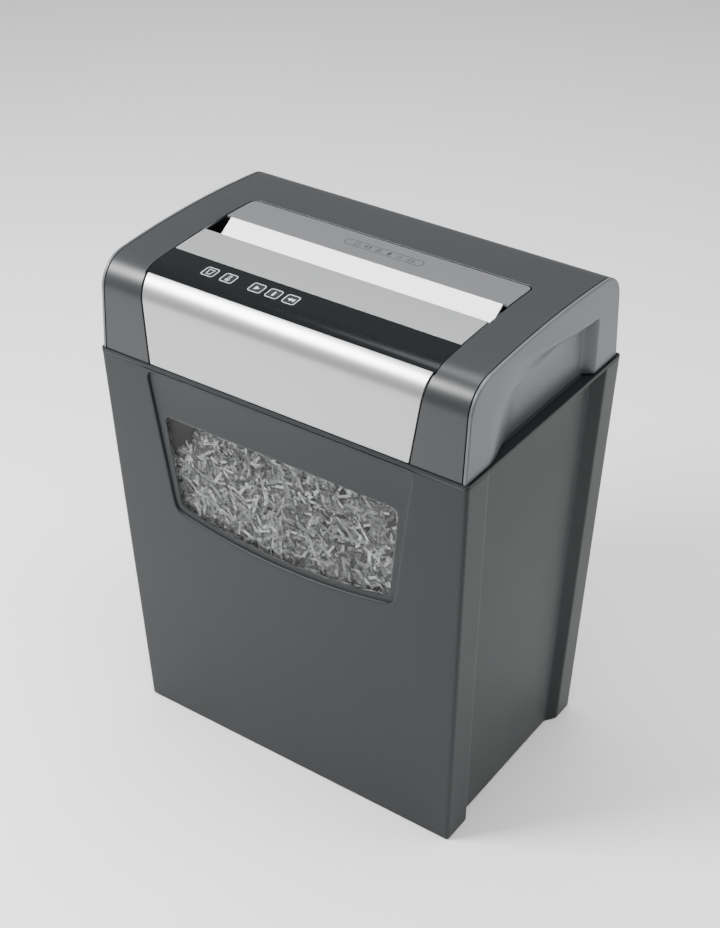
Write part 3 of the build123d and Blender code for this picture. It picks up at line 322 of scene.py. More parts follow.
finishes = {
    # painted light: the bin's inner walls are six times lighter than its outside
    "bin_plastic": plastic(
        "binPlastic", (0.0125, 0.0145, 0.0155), 0.34, 0.03, shine=0.21, where=litBinInside, lighter=6.0
    ),
    "shell_plastic": plastic("shellPlastic", (0.021, 0.0225, 0.024), 0.28, 0.02, shine=0.4),
    # painted light: the tray's sides are six times lighter, matching the lit side panels
    "tray_plastic": plastic(
        "trayPlastic", (0.013, 0.0145, 0.0155), 0.34, 0.03, shine=0.25, where=litTraySides, lighter=6.0
    ),
    "comb_plastic": plastic("combPlastic", (0.028, 0.028, 0.03), 0.5, 0.04),
    "component_black": plastic("componentPlastic", (0.02, 0.02, 0.022), 0.4),
    "gear_nylon": plastic("gearNylon", (0.78, 0.76, 0.68), 0.38, 0.01),
    "white_acetal": plastic("whiteAcetal", (0.8, 0.8, 0.78), 0.34, 0.01),
    "led_clear": plastic("ledClear", (0.75, 0.78, 0.76), 0.12, 0.004, 0.5),
    "gland_rubber": plastic("glandRubber", (0.018, 0.018, 0.019), 0.62, 0.05),
    "silver_paint": silverPaint("silverPaint", (0.4, 0.404, 0.412), 0.27),
    "guide_silver": silverPaint("guideSilver", (0.42, 0.425, 0.43), 0.3, 0.7),
    "rearGuide": silverPaint("rearGuide", (0.13, 0.132, 0.136), 0.34, 0.4, split=chuteTop - 0.05, ahead=7.2),
    "motor_can": silverPaint("motorCan", (0.16, 0.165, 0.17), 0.4, 0.6),
    "gloss_black": glossBlack("glossBlack", (0.0055, 0.0063, 0.0068), 0.16),
    "button_black": glossBlack("buttonBlack", (0.02, 0.021, 0.023), 0.2),
    "lens_smoke": glossBlack("lensSmoke", (0.016, 0.017, 0.019), 0.08),
    "clear_pane": clearPane("clearPane"),
    "shredded_paper": shreddedPaper("shreddedPaper"),
    "cutter_steel": steel("cutterSteel", (0.5, 0.5, 0.49), 0.24, (1.0, 0.3, 0.3)),
    "shaft_steel": steel("shaftSteel", (0.6, 0.6, 0.6), 0.2),
    "plate_steel": steel("plateSteel", (0.58, 0.6, 0.61), 0.34, (1.0, 0.05, 1.0)),
    "spacer_steel": steel("spacerSteel", (0.45, 0.45, 0.46), 0.35),
    "gear_steel": steel("gearSteel", (0.42, 0.42, 0.44), 0.35),
    "zinc_screw": steel("zincScrew", (0.68, 0.7, 0.72), 0.26),
    "spring_steel": steel("springSteel", (0.55, 0.55, 0.57), 0.22),
    "bronze_bush": steel("bronzeBush", (0.6, 0.4, 0.2), 0.3),
    # painted light: the side panels take a lighter copy of the shell's plastic, standing for light from the
    # side
    "sideLitPlastic": plastic("sideLitPlastic", (0.082, 0.086, 0.091), 0.32, 0.02, shine=0.5),
    "board_green": boardLacquer("boardGreen", (0.02, 0.14, 0.05)),
}
for part in frame["record"]["subparts"]:
    node = frame["nodes"][part["node"]]
    node.data.materials.clear()
    node.data.materials.append(finishes[part["material_slot"]])
print("finishes made:", len(finishes))


# quads of a grid of points: quad (i, j) joins rows i and i + 1, columns j and j + 1
def gridFaces(rows, columns, wrap=False):
    i = np.arange(rows - 1)[:, None]
    j = np.arange(columns if wrap else columns - 1)[None]
    k = (j + 1) % columns
    quads = [i * columns + j, i * columns + k, (i + 1) * columns + k, (i + 1) * columns + j]
    return stack(quads, -1).reshape(-1, 4)


def gridPart(points, wrap=False, keep=None):
    rows, columns = points.shape[:2]
    faces = gridFaces(rows, columns, wrap)
    if keep is not None:
        faces = faces[keep.reshape(-1)]
    return points.reshape(-1, 3), faces


# a new object, linked to the scene
def placed(name, data):
    made = bpy.data.objects.new(name, data)
    bpy.context.scene.collection.objects.link(made)
    return made


# a piece from several point sets whose shared borders are merged; faces point away from the inner place
def makePiece(
    name, parts, body, slotName, replaced=(), inner=None, wall=0.0, soften=0.0, tone=None, finish=None
):
    starts = np.cumsum([0] + [len(part[0]) for part in parts[:-1]])
    points = concatenate([part[0] for part in parts]) * mm
    faces = concatenate([part[1] + start for part, start in zip(parts, starts)])
    mesh = bpy.data.meshes.new(name)
    mesh.from_pydata(points.tolist(), [], faces.tolist())
    if tone is not None:
        mesh.attributes.new("tone", "FLOAT", "POINT").data.foreach_set("value", tone.astype(np.float32))
    else:
        work = bmesh.new()
        work.from_mesh(mesh)
        bmesh.ops.remove_doubles(work, verts=work.verts, dist=0.02 * mm)
        bmesh.ops.dissolve_degenerate(work, edges=work.edges, dist=0.002 * mm)
        bmesh.ops.recalc_face_normals(work, faces=work.faces)
        if inner is not None:
            centre = Vector(inner) * mm
            if sum(f.normal.dot(f.calc_center_median() - centre) * f.calc_area() for f in work.faces) < 0:
                bmesh.ops.reverse_faces(work, faces=work.faces)
        work.to_mesh(mesh)
        work.free()
    mesh.shade_smooth()
    mesh.set_sharp_from_angle(angle=math.radians(38))
    mesh.materials.append(finishes[finish or slotName])
    piece = placed(name, mesh)
    if wall:
        solid = piece.modifiers.new("wall", "SOLIDIFY")
        solid.thickness = wall * mm
        solid.offset = -1.0
        solid.use_even_offset = True
    if soften:
        bevel = piece.modifiers.new("edges", "BEVEL")
        bevel.width = soften * mm
        bevel.segments = 3
        bevel.limit_method = "ANGLE"
        bevel.angle_limit = math.radians(40)
        bevel.harden_normals = True
        bevel.use_clamp_overlap = True
    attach(piece, body)
    if replaced:
        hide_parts(*replaced)
    return piece


# from 0 to 1 with level ends: 3 t^2 - 2 t^3
def smoothStep(value):
    t = np.clip(value, 0.0, 1.0)
    return t * t * (3 - 2 * t)


# steps from 0 to 1 that lie closer together towards both ends
def closeEnds(count, share=0.7):
    t = linspace(0.0, 1.0, count)
    return (1 - share) * t + share * (0.5 - 0.5 * np.cos(pi * t))


def unit(v):
    return v / np.linalg.norm(v, axis=-1, keepdims=True)


# the direction of an angle in the plane
def aimed(angle):
    return stack([np.cos(angle), np.sin(angle)], -1)


# the length along a run of points up to each of them
def runLengths(points):
    return concatenate([[0.0], np.cumsum(np.linalg.norm(np.diff(points, axis=0), axis=1))])


# a table of pairs read off at given lengths
def readAt(place, lengths, pairs):
    return stack([np.interp(place, lengths, pairs[:, k]) for k in (0, 1)], -1)


# a curve that leaves the first point towards the corner and reaches the last from there
def bent(first, corner, last, t):
    return (1 - t) ** 2 * first + 2 * t * (1 - t) * corner + t ** 2 * last


sideView = {"lean": 0.0716, "arch": 75.8, "radius": 900.0, "centre": 4.0, "front": 26.0, "rear": 22.0}


# two leaning lines and the long arch between them, with an arc of the given radius at each corner
def sideCurve():
    lean = sideView["lean"]
    big = sideView["radius"]
    middle = array([sideView["centre"], sideView["arch"] - big])
    size = math.hypot(1.0, lean)
    found = []
    for side, foot, small in ((1, shellFront, sideView["front"]), (-1, shellRear, sideView["rear"])):
        along = array([side * lean, 1.0]) / size
        inward = array([side, -lean]) / size
        start = array([foot, 0.0])
        reach = start + small * inward - middle
        run = -reach @ along + math.sqrt((reach @ along) ** 2 - reach @ reach + (big - small) ** 2)
        centre = start + run * along + small * inward
        outward = unit(centre - middle)
        first = math.atan2(-inward[1], -inward[0])
        last = math.atan2(outward[1], outward[0])
        first += 2 * pi * (first < 0) * (side > 0)
        turn = linspace(first, last, 70)
        arc = centre + small * aimed(turn)
        found.append((start, arc, last))
    (frontFoot, frontArc, frontTurn), (rearFoot, rearArc, rearTurn) = found
    turn = linspace(frontTurn, rearTurn, 120)[1:-1]
    arch = middle + big * aimed(turn)
    return concatenate([frontFoot[None], frontArc, arch, rearArc[::-1], rearFoot[None]])


sidePoints = sideCurve()
sideLengths = runLengths(sidePoints)
sideEnd = sideLengths[-1]
slopes = np.gradient(sidePoints, sideLengths, axis=0)
sideNormals = unit(stack([-slopes[:, 1], slopes[:, 0]], -1))


# (y, z) and the outward direction at each length along the side view
def sidePlace(length, inset=0.0):
    normal = readAt(length, sideLengths, sideNormals)
    return readAt(length, sideLengths, sidePoints) - inset * normal, normal


def lengthAt(y):
    return np.interp(y, sidePoints[:, 0], sideLengths)


# points on the shell: x, and the side view at a length, both whole grids
def shellPoints(x, length):
    place = sidePlace(length)[0]
    return stack([x, place[..., 0], place[..., 1] + deck], -1)


# lengths along the side view, closer together on its two corners
def sideSteps(low, high, flat=7.0, tight=1.6):
    dense = linspace(low, high, 4000)
    normal = sidePlace(dense)[1]
    bend = np.abs(np.gradient(np.unwrap(np.arctan2(normal[:, 1], normal[:, 0])), dense))
    need = 1 / flat + (1 / tight - 1 / flat) * np.clip(bend * sideView["rear"], 0.0, 1.0)
    total = concatenate([[0.0], np.cumsum((need[1:] + need[:-1]) / 2 * np.diff(dense))])
    return np.interp(linspace(0, total[-1], max(int(total[-1]) + 1, 4)), total, dense)


cover = {
    "half": shellHalf - 3.4, "wall": 2.6, "topHalf": shellHalf - 35.2,
    "faceTopHalf": shellHalf - 36.4, "faceBottomHalf": shellHalf - 44.9,
    "faceTop": shellFront + 15.0, "rear": shellRear - 68.0, "corner": 6.0, "slots": 16,
    "slotPitch": 7.0, "slotWidth": 3.0, "slotLow": 26.0, "slotHigh": 52.0, "slotRoom": 4.0,
    "slotSteps": 5.0, "follow": 24.0, "widen": 3.0, "soften": 0.45,
}


# half width of the opening: it flares up the front face and is straight over the top
def openingHalf(length):
    place = sidePlace(length)[0]
    rise = place[..., 1] / np.interp(cover["faceTop"], sidePoints[:, 0], sidePoints[:, 1])
    face = cover["faceBottomHalf"] + (cover["faceTopHalf"] - cover["faceBottomHalf"]) * rise
    over = smoothStep((place[..., 0] - cover["faceTop"] + cover["widen"]) / cover["widen"])
    return face + (cover["topHalf"] - face) * over


def makeTopCover():
    c = cover
    corner = c["rear"] - c["corner"]
    across = closeEnds(13, 0.5)
    cornerLength = lengthAt(corner)
    rows = sideSteps(0.0, cornerLength)
    edge = openingHalf(rows)[:, None]
    columnX = edge + (c["half"] - edge) * across[None]
    right = shellPoints(columnX, np.broadcast_to(rows[:, None], columnX.shape))
    left = right * array([-1.0, 1.0, 1.0])
    # rear part: its front border goes round the opening's two corners
    turn = linspace(0.0, pi / 2, 8)
    bendX = c["topHalf"] - c["corner"] + c["corner"] * np.cos(turn)
    bendY = corner + c["corner"] * np.sin(turn)
    slotEdges = (np.arange(c["slots"])[:, None] - (c["slots"] - 1) / 2) * c["slotPitch"]
    slotEdges = (slotEdges + array([[-0.5, 0.5]]) * c["slotWidth"]).reshape(-1)
    outerX = (c["topHalf"] + (c["half"] - c["topHalf"]) * across)[::-1]
    between = linspace(bendX[-1], slotEdges[-1] + c["slotRoom"], 10)[1:]
    reach = concatenate([outerX, bendX[1:], between])
    x = concatenate([-reach, slotEdges, reach[::-1]])
    y = np.interp(np.abs(x), bendX[::-1], bendY[::-1], right=corner)
    start = lengthAt(y)
    slotRows = [rearLength(c["slotHigh"]), rearLength(c["slotLow"])]
    runs = [(cornerLength, slotRows[0]), (*slotRows, c["slotSteps"]), (slotRows[1], sideEnd, c["slotSteps"])]
    steps = concatenate([[cornerLength]] + [sideSteps(*run)[1:] for run in runs])
    # rows near the opening take the border's shape, rows further back are level
    follow = np.clip((steps - cornerLength) / c["follow"], 0.0, 1.0)[:, None]
    length = steps[:, None] + (start - cornerLength)[None] * (1 - follow)
    rear = shellPoints(np.broadcast_to(x[None], length.shape), length)
    middleX = (x[1:] + x[:-1]) / 2
    middleRow = (steps[1:] + steps[:-1]) / 2
    share = (middleX / c["slotPitch"] + (c["slots"] - 1) / 2) % 1.0
    inSlot = np.abs(share - 0.5) > 0.5 - c["slotWidth"] / c["slotPitch"] / 2
    inSlot &= np.abs(middleX) < slotEdges[-1]
    inRow = (middleRow > slotRows[0]) & (middleRow < slotRows[1])
    keep = ~(inRow[:, None] & inSlot[None])
    parts = [gridPart(right), gridPart(left), gridPart(rear, keep=keep)]
    inner = (0, 0, deck)
    makePiece("topCover", parts, "head", "shell_plastic", ["top_cover"], inner, c["wall"], c["soften"])


# length along the side view where the rear face is at a height over the deck
def rearLength(height):
    half = len(sidePoints) // 2
    return np.interp(-height, -sidePoints[half:, 1], sideLengths[half:])


makeTopCover()
print("top cover made")


frontPanel = {"gap": 1.1, "wall": 2.0, "columns": 40, "soften": 0.7}


# the shell's surface between the flaring borders, up over the front corner
def makeFrontPanel():
    p = frontPanel
    rows = sideSteps(0.0, lengthAt(cover["faceTop"]) - 0.1)
    half = openingHalf(rows)[:, None] - p["gap"]
    half = np.minimum(half, cover["faceTopHalf"] - p["gap"])
    x = half * linspace(-1.0, 1.0, p["columns"])[None]
    parts = [gridPart(shellPoints(x, np.broadcast_to(rows[:, None], x.shape)))]
    inner = (0, 0, deck)
    makePiece("frontPanel", parts, "head", "silver_paint", ["front_panel"], inner, p["wall"], p["soften"])


makeFrontPanel()
print("front panel made")


guides = {
    "gap": 1.3, "inset": 0.3, "ledge": 4.4, "front": cover["faceTop"] + 32.4, "throat": 82.3,
    "slot": 5.0, "slope": 0.65, "deep": 16.0, "round": 1.6, "seam": 0.1, "tuck": (0.3, 0.25),
    "columns": 44, "wall": 1.8, "soften": 0.5,
}


# a rounded corner in a side view: points on the curve from one run to the next
def turned(before, corner, after, size):
    t = linspace(0.0, 1.0, 7)[:, None]
    return bent(corner + unit(before - corner) * size, corner, corner + unit(after - corner) * size, t)


# the front guide's skin rolls over into the slot; the rear one is a plate over a sloping chute
def makeGuides():
    g = guides
    half = cover["topHalf"] - g["gap"]
    high = shellFront + g["throat"]
    skin = sidePlace(linspace(lengthAt(g["front"]), lengthAt(high - g["round"]), 26), g["inset"])[0]
    corner = sidePlace(lengthAt(high), g["inset"])[0]
    foot = corner - array([0.0, g["deep"]])
    line = concatenate([skin, turned(skin[-1], corner, foot, g["round"]), foot[None]])
    parts = [crossed(line, np.full(len(line), half))]
    made = {"wall": g["wall"], "soften": g["soften"]}
    makePiece("frontGuide", parts, "head", "guide_silver", ["front_guide"], (0, -20, deck), **made)
    rear = cover["rear"] - g["gap"]
    crest = sidePlace(lengthAt(chuteTop), g["inset"])[0]
    back = shellFront + g["throat"] + g["slot"]
    knee = array([back, crest[1] - g["slope"] * (chuteTop - back)])
    foot = knee - array([0.0, g["deep"]])
    tucked = crest - array(g["tuck"])
    line = concatenate([foot[None], turned(foot, knee, crest, g["round"]), tucked[None]])
    parts = [crossed(line, np.full(len(line), half - g["ledge"]))]
    y = chuteTop + g["seam"] + (rear - chuteTop - g["seam"]) * np.sin(linspace(0.0, pi / 2, 30))
    line = sidePlace(lengthAt(y), g["inset"])[0]
    small = cover["corner"] - g["gap"]
    drawnIn = small - np.sqrt(np.maximum(small ** 2 - np.maximum(y - rear + small, 0.0) ** 2, 0.0))
    parts.append(crossed(line, half - drawnIn))
    made["finish"] = "rearGuide"
    makePiece("rearGuide", parts, "head", "guide_silver", ["rear_guide"], (0, 0, deck), **made)


# a side view carried across, with its own half width at each point
def crossed(line, half):
    x = half[:, None] * linspace(-1.0, 1.0, guides["columns"])[None]
    spread = np.broadcast_to(line[:, None, :], (*x.shape, 2))
    return gridPart(stack([x, spread[..., 0], spread[..., 1] + deck], -1))


makeGuides()
print("guides made")


springCoil = {"wire": 0.5, "pitch": 2.2, "travel": 2.0, "perTurn": 28, "round": 10}


# the plunger's return spring: a ring of the wire's radius carried up a helix
def makeSpring():
    c = springCoil
    low, high = [array(end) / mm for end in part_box("interlock_spring")]
    middle = (low + high) / 2
    radius = (high[0] - low[0]) / 2 - c["wire"]
    rise = high[2] - low[2] - 2 * c["wire"]
    turns = rise / c["pitch"]
    turn = linspace(0.0, 2 * pi * turns, int(turns * c["perTurn"]))[:, None]
    around = linspace(0.0, 2 * pi, c["round"], endpoint=False)[None]
    # the last two rings at each end close on the wire's middle
    size = np.ones(len(turn))[:, None]
    size[[0, -1]] = 0.0
    size[[1, -2]] = 0.8
    reach = radius + c["wire"] * size * np.cos(around)
    height = low[2] + c["wire"] + rise * turn / turn[-1] + c["wire"] * size * np.sin(around)
    points = stack([middle[0] + reach * np.cos(turn), middle[1] + reach * np.sin(turn), height], -1)
    parts = [gridPart(points, wrap=True)]
    spring = makePiece("interlockSpring", parts, "head", "spring_steel", ["interlock_spring"])
    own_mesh(spring)


makeSpring()
print("spring made")


sidePanel = {
    "wall": 2.5, "round": 1.2, "depth": 8.4, "front": shellFront + 34.5, "rear": shellRear - 33.0,
    "height": 45.0, "left": 0.5, "early": 8.0, "ramp": 44.0, "start": 0.15, "edge": 1.5,
    "edgeWide": 3.5, "edgeWider": 30.0,
}


# how far the grip is sunk: full at its foot, and at its top growing from 1 mm in front to full at the
# rear; its top edge is sharp at the rear and grows softer towards the front
def gripDepth(y, z):
    s = sidePanel
    inside = smoothStep((y - s["front"] + s["early"]) / s["ramp"]) * smoothStep((s["rear"] - y) / s["depth"])
    share = (y - s["front"] - s["depth"]) / (s["rear"] - s["front"] - 2 * s["depth"])
    top = s["left"] + (s["depth"] - s["left"]) * smoothStep(s["start"] + (1 - s["start"]) * share)
    rise = np.clip(z / s["height"], 0.0, 1.0)
    wide = s["edgeWide"] + s["edgeWider"] * (1 - np.clip(share, 0.0, 1.0)) ** 1.5
    under = 1 - smoothStep((z - s["height"] + s["edge"]) / wide)
    return inside * (s["depth"] + (top - s["depth"]) * rise ** 1.4) * under


# a closed plate: its face fans out from the foot line to the side view, then turns over a rounded edge
def makeSidePanel(side):
    s = sidePanel
    lengths = sideSteps(0.0, sideEnd, 1.4, 0.9)
    share = closeEnds(len(lengths), 0.25)
    curve, normal = sidePlace(lengths)
    inner = curve - s["round"] * normal
    inner[:, 1] = np.maximum(inner[:, 1], 0.0)
    footY = shellFront + s["round"] + (shellRear - shellFront - 2 * s["round"]) * share
    foot = stack([footY, 0 * share], -1)
    up = linspace(0.0, 1.0, 100)[:, None, None]
    face = foot[None] + (inner - foot)[None] * up
    faceX = shellHalf - gripDepth(face[..., 0], face[..., 1])
    front = concatenate([faceX[..., None], face], -1)
    turn = linspace(0.0, pi / 2, 6)[1:, None, None]
    ring = inner[None] + (curve - inner)[None] * np.sin(turn)
    ringX = shellHalf - s["round"] * (1 - np.cos(turn[..., 0])) + 0 * ring[..., 0]
    edge = concatenate([ringX[..., None], ring], -1)
    back = curve - 0.1 * normal
    backRim = concatenate([np.full((len(curve), 1), shellHalf - s["wall"]), curve], -1)[None]
    down = linspace(1.0, 0.0, 16)[:, None, None]
    behind = foot[None] + (back - foot)[None] * down
    behindX = shellHalf - s["wall"] - gripDepth(behind[..., 0], behind[..., 1])
    rear = concatenate([behindX[..., None], behind], -1)
    rear[0, :, 0] = shellHalf - s["wall"]
    grid = concatenate([front, edge, backRim, rear, front[:1]])
    grid[..., 2] += deck
    grid[..., 0] *= side
    word = "right" if side > 0 else "left"
    node = word + "_side_panel"
    # the side panels use the lighter copy of the shell's plastic, which is painted light
    makePiece(word + "SidePanel", [gridPart(grid)], "head", "shell_plastic", [node], finish="sideLitPlastic")


makeSidePanel(1)
makeSidePanel(-1)
print("side panels made")


tub = {
    "half": binHigh.x / mm, "depth": binHigh.y / mm, "taper": 11.4, "lean": 11.0, "front": 27.0,
    "rear": 22.0, "step": 9.0, "inset": 8.5, "insetLoss": 2.0, "wall": 2.4, "floor": 3.0,
    "band": 3.0, "lip": 1.6,
}
field = {"top": -5.2, "topHalf": 118.5, "low": -129.0, "lowHalf": 102.0, "bow": 12.0, "corner": 9.0}
window = {"top": -43.0, "topHalf": 105.5, "low": -124.5, "lowHalf": 97.0, "bow": 11.0, "corner": 7.0}
fieldDepth = 2.0
cornerSteps = 6
edgeSteps = array([26, 4, 26, 4, 12, 40, 12, 4, 26, 4, 26, 44])
cornerRadius = array([3.0, 1.6, 2.0, 2.0, 1.6, 3.0, 3.0, 1.6, 2.0, 2.0, 1.6, 3.0])


# the twelve corners of the plan outline at heights z, moved inwards by a distance; the outline is a
# full rectangle where flat is 1
def tubCorner(z, inward, flat):
    t = tub
    fall = (rim - z) / rim
    half = t["half"] - t["taper"] * fall * (1 - flat)
    front = -t["depth"] + t["lean"] * fall * (1 - flat)
    rear = t["depth"] - t["lean"] * fall * (1 - flat)
    inset = (t["inset"] - t["insetLoss"] * fall) * (1 - flat)
    side = half - inset
    a, b = t["front"], t["front"] + t["step"]
    c, d = t["rear"] + t["step"], t["rear"]
    rightX = stack([half, half, side, side, half, half], -1)
    rightY = stack([front, front + a, front + b, rear - c, rear - d, rear], -1)
    x = concatenate([rightX, -rightX[..., ::-1]], -1)
    y = concatenate([rightY, rightY[..., ::-1]], -1)
    corner = stack([x, y], -1)
    ahead = unit(np.roll(corner, -1, -2) - corner)
    out = stack([ahead[..., 1], -ahead[..., 0]], -1)
    before = np.roll(out, 1, -2)
    share = 1 + (out * before).sum(-1, keepdims=True)
    return corner - inward[..., None, None] * (out + before) / share


# loops of points round the tub: each corner is a small arc, each edge has its own number of steps
def tubLoops(z, inward, flat):
    z, inward, flat = np.broadcast_arrays(np.asarray(z, float), inward, flat)
    corner = tubCorner(z, inward, flat)
    ahead = unit(np.roll(corner, -1, -2) - corner)
    back = -np.roll(ahead, 1, -2)
    size = np.clip(cornerRadius[None] - inward[:, None] * 0.5, 0.6, 5.0)[..., None]
    t = linspace(0.0, 1.0, cornerSteps)[None, None, :, None]
    first = (corner + back * size)[:, :, None]
    last = (corner + ahead * size)[:, :, None]
    arcs = bent(first, corner[:, :, None], last, t)
    pieces = []
    corners = len(edgeSteps)
    for i, count in enumerate(edgeSteps):
        pieces.append(arcs[:, i])
        steps = closeEnds(count + 2, 0.75 if i == corners - 1 else 0.0)[1:-1]
        gap = arcs[:, (i + 1) % corners, 0] - arcs[:, i, -1]
        pieces.append(arcs[:, i, -1][:, None] + gap[:, None] * steps[None, :, None])
    loop = concatenate(pieces, 1)
    return concatenate([loop, np.broadcast_to(z[:, None, None], (*loop.shape[:2], 1))], -1)


# a flared outline with a bowed foot and rounded corners, in four runs of given numbers of points
def flaredLoop(shape, grow, counts, shares):
    top, low = shape["top"] + grow, shape["low"] - grow
    a, b = shape["topHalf"] + grow, shape["lowHalf"] + grow
    small = shape["corner"] + grow
    bowX = linspace(-b, b, 161)
    bowY = low - shape["bow"] * (1 - (bowX / b) ** 2)
    sharp = [stack([bowX, bowY], -1), [(b, low), (a, top)], [(a, top), (-a, top)], [(-a, top), (-b, low)]]
    runs = []
    for run in sharp:
        run = array(run, float)
        size = runLengths(run)
        runs.append(readAt(linspace(small, size[-1] - small, 120), size, run))
    points = []
    for i in range(4):
        before, this, after = runs[i - 1], runs[i], runs[(i + 1) % 4]
        t = linspace(0.0, 1.0, 40)[:, None]
        start = bent(before[-1], crossing(before[-2:], this[:2]), this[0], t)
        end = bent(this[-1], crossing(this[-2:], after[:2]), after[0], t)
        # each run starts and ends in the middle of a corner
        run = concatenate([start[20:], this[1:-1], end[:20]])
        size = runLengths(run)
        points.append(readAt(shares[i] * size[-1], size, run)[: counts[i]])
    return concatenate(points)


# where the lines through two pairs of points cross
def crossing(first, second):
    d, e = first[1] - first[0], second[1] - second[0]
    gap = second[0] - first[0]
    share = (gap[0] * e[1] - gap[1] * e[0]) / (d[0] * e[1] - d[1] * e[0])
    return first[0] + share * d


# (across, up the face, inwards) on the leaning front face to a place
def frontPlace(across, up, inwards):
    size = math.hypot(rim, tub["lean"])
    rise = array([0.0, -tub["lean"], rim]) / size
    inner = array([0.0, rim, tub["lean"]]) / size
    origin = array([0.0, -tub["depth"], rim])
    flat = stack([across, 0 * across, 0 * across], -1)
    return origin + flat + up[..., None] * rise + inwards[..., None] * inner


# the border of the block of rows and columns that the front patch replaces, from its low left corner
def blockBorder(block):
    return concatenate([block[0, :-1], block[:-1, -1], block[-1, :0:-1], block[:0:-1, 0]])


# the bin in one skin: rows are (height, distance inwards, 1 for a full rectangle), from the middle of
# the base up the outside, over the rim and down the inside to the middle of the floor
def makeBinShell():
    t = tub
    band, lip, wall, floor = rim - t["band"], t["lip"], t["wall"], t["floor"]
    wallRows = 2.0 + (band - 3.2) * closeEnds(34, 0.75)
    outer = [
        (0.0, 60.0, 0), (0.0, 6.0, 0), (0.0, 1.3, 0), (0.35, 0.4, 0), (1.2, 0.0, 0),
        *[(z, 0.0, 0) for z in wallRows],
    ]
    over = [
        (band - 0.4, 0.0, 0), (band, 0.35, 0), (band, 0.3, 1), (band + 0.3, 0.0, 1), (rim - 0.45, 0.0, 1),
        (rim - 0.12, 0.12, 1), (rim, 0.45, 1), (rim, lip - 0.35, 1), (rim - 0.12, lip - 0.08, 1),
        (rim - 0.4, lip, 1), (rim - 1.0, lip, 1), (rim - 1.0, lip + 0.15, 1), (rim - 1.0, wall - 0.35, 0),
        (rim - 1.1, wall - 0.1, 0), (rim - 1.4, wall, 0),
    ]
    innerRows = floor + 2.0 + (rim - 3.0 - floor - 2.0) * closeEnds(34, 0.75)
    inner = [(z, wall, 0) for z in innerRows[::-1]]
    inner += [(floor + 0.6, wall + 0.5, 0), (floor, wall + 2.0, 0), (floor, 60.0, 0)]
    rows = array(outer + over + inner, float)
    loops = tubLoops(rows[:, 0], rows[:, 1], rows[:, 2])
    count = loops.shape[1]
    firstColumn = count - edgeSteps[-1] - 1  # the last arc's end, where the front face begins
    columns = np.r_[firstColumn:count, 0]
    outerRows = np.arange(5, 5 + len(wallRows))
    innerStart = len(outer) + len(over)
    innerBlock = np.arange(innerStart, innerStart + len(innerRows))
    keep = np.ones((len(rows) - 1, count), bool)
    keep[outerRows[0] : outerRows[-1], firstColumn:] = False
    keep[innerBlock[0] : innerBlock[-1], firstColumn:] = False
    outerBorder = blockBorder(loops[outerRows][:, columns])
    innerBorder = blockBorder(loops[innerBlock[::-1]][:, columns])
    counts = [len(columns) - 1, len(wallRows) - 1, len(columns) - 1, len(wallRows) - 1]
    shares = [closeEnds(counts[0] + 1, 0.75), closeEnds(counts[1] + 1, 0.75)] * 2
    # the front patch: an outline, how much it is grown, and its depth under the face
    f = fieldDepth
    stages = [
        (field, 2.4, 0.0), (field, 0.9, 0.0), (field, 0.42, 0.1), (field, 0.1, 0.38), (field, -0.1, 0.8),
        (field, -0.35, f - 0.1), (field, -0.9, f), (window, 3.0, f), (window, 0.7, f),
        (window, 0.3, f + 0.06), (window, 0.06, f + 0.3), (window, 0.0, f + 0.7),
        (window, 0.0, f + wall - 0.3), (window, 0.3, f + wall), (window, 8.0, f + wall),
        (field, 1.9, f + wall), (field, 2.3, f + wall - 0.4), (field, 2.6, wall + 0.3),
        (field, 3.2, wall), (field, 5.0, wall),
    ]
    patch = []
    for shape, grow, depth in stages:
        loop = flaredLoop(shape, grow, counts, shares)
        patch.append(frontPlace(loop[:, 0], loop[:, 1], np.full(len(loop), depth)))
    # a loop close to each border keeps the corner's turn out of the wide faces
    nearOuter = outerBorder + (patch[0] - outerBorder) * 0.04
    nearInner = innerBorder + (patch[-1] - innerBorder) * 0.04
    patch = [outerBorder, nearOuter, *patch, nearInner, innerBorder]
    parts = [gridPart(loops, wrap=True, keep=keep), gridPart(stack(patch), wrap=True)]
    for row in (0, -1):  # the middle of the base and of the floor
        middle = loops[row].mean(0)
        parts.append(gridPart(stack([loops[row], 0 * loops[row] + middle]), wrap=True))
    parts.append(postPart())
    makePiece("binShell", parts, "bin", "bin_plastic", ["bin_shell"])


post = {"x": -120.0, "y": -84.0, "half": 3.5, "tip": deck - 31.3, "shelf": deck - 35.0}


# the interlock bracket: a side view carried across, its corners drawn in at both ends
def postPart():
    p = post
    wall = -tub["depth"] + tub["lean"] * (rim - p["shelf"]) / rim + 1.6
    y0, y1 = p["y"] - p["half"], p["y"] + p["half"]
    tip, shelf = p["tip"], p["shelf"]
    outline = array([
        (wall, shelf), (y0 - 0.4, shelf), (y0, shelf + 0.4), (y0, tip - 0.5), (y0 + 0.5, tip),
        (y1 - 0.5, tip), (y1, tip - 0.5), (y1, shelf - 4.0), (wall, shelf - 16.0),
    ])
    middle = array([[p["y"], shelf - 2.0]])
    half = array([p["half"], p["half"], p["half"] - 0.4])
    across = concatenate([-half, half[::-1]]) + p["x"]
    scale = array([0.0, 0.96, 1.0, 1.0, 0.96, 0.0])[:, None, None]
    ring = middle + (outline - middle)[None] * scale
    ring = concatenate([np.broadcast_to(across[:, None, None], (*ring.shape[:2], 1)), ring], -1)
    return gridPart(ring, wrap=True)


makeBinShell()
print("bin made")


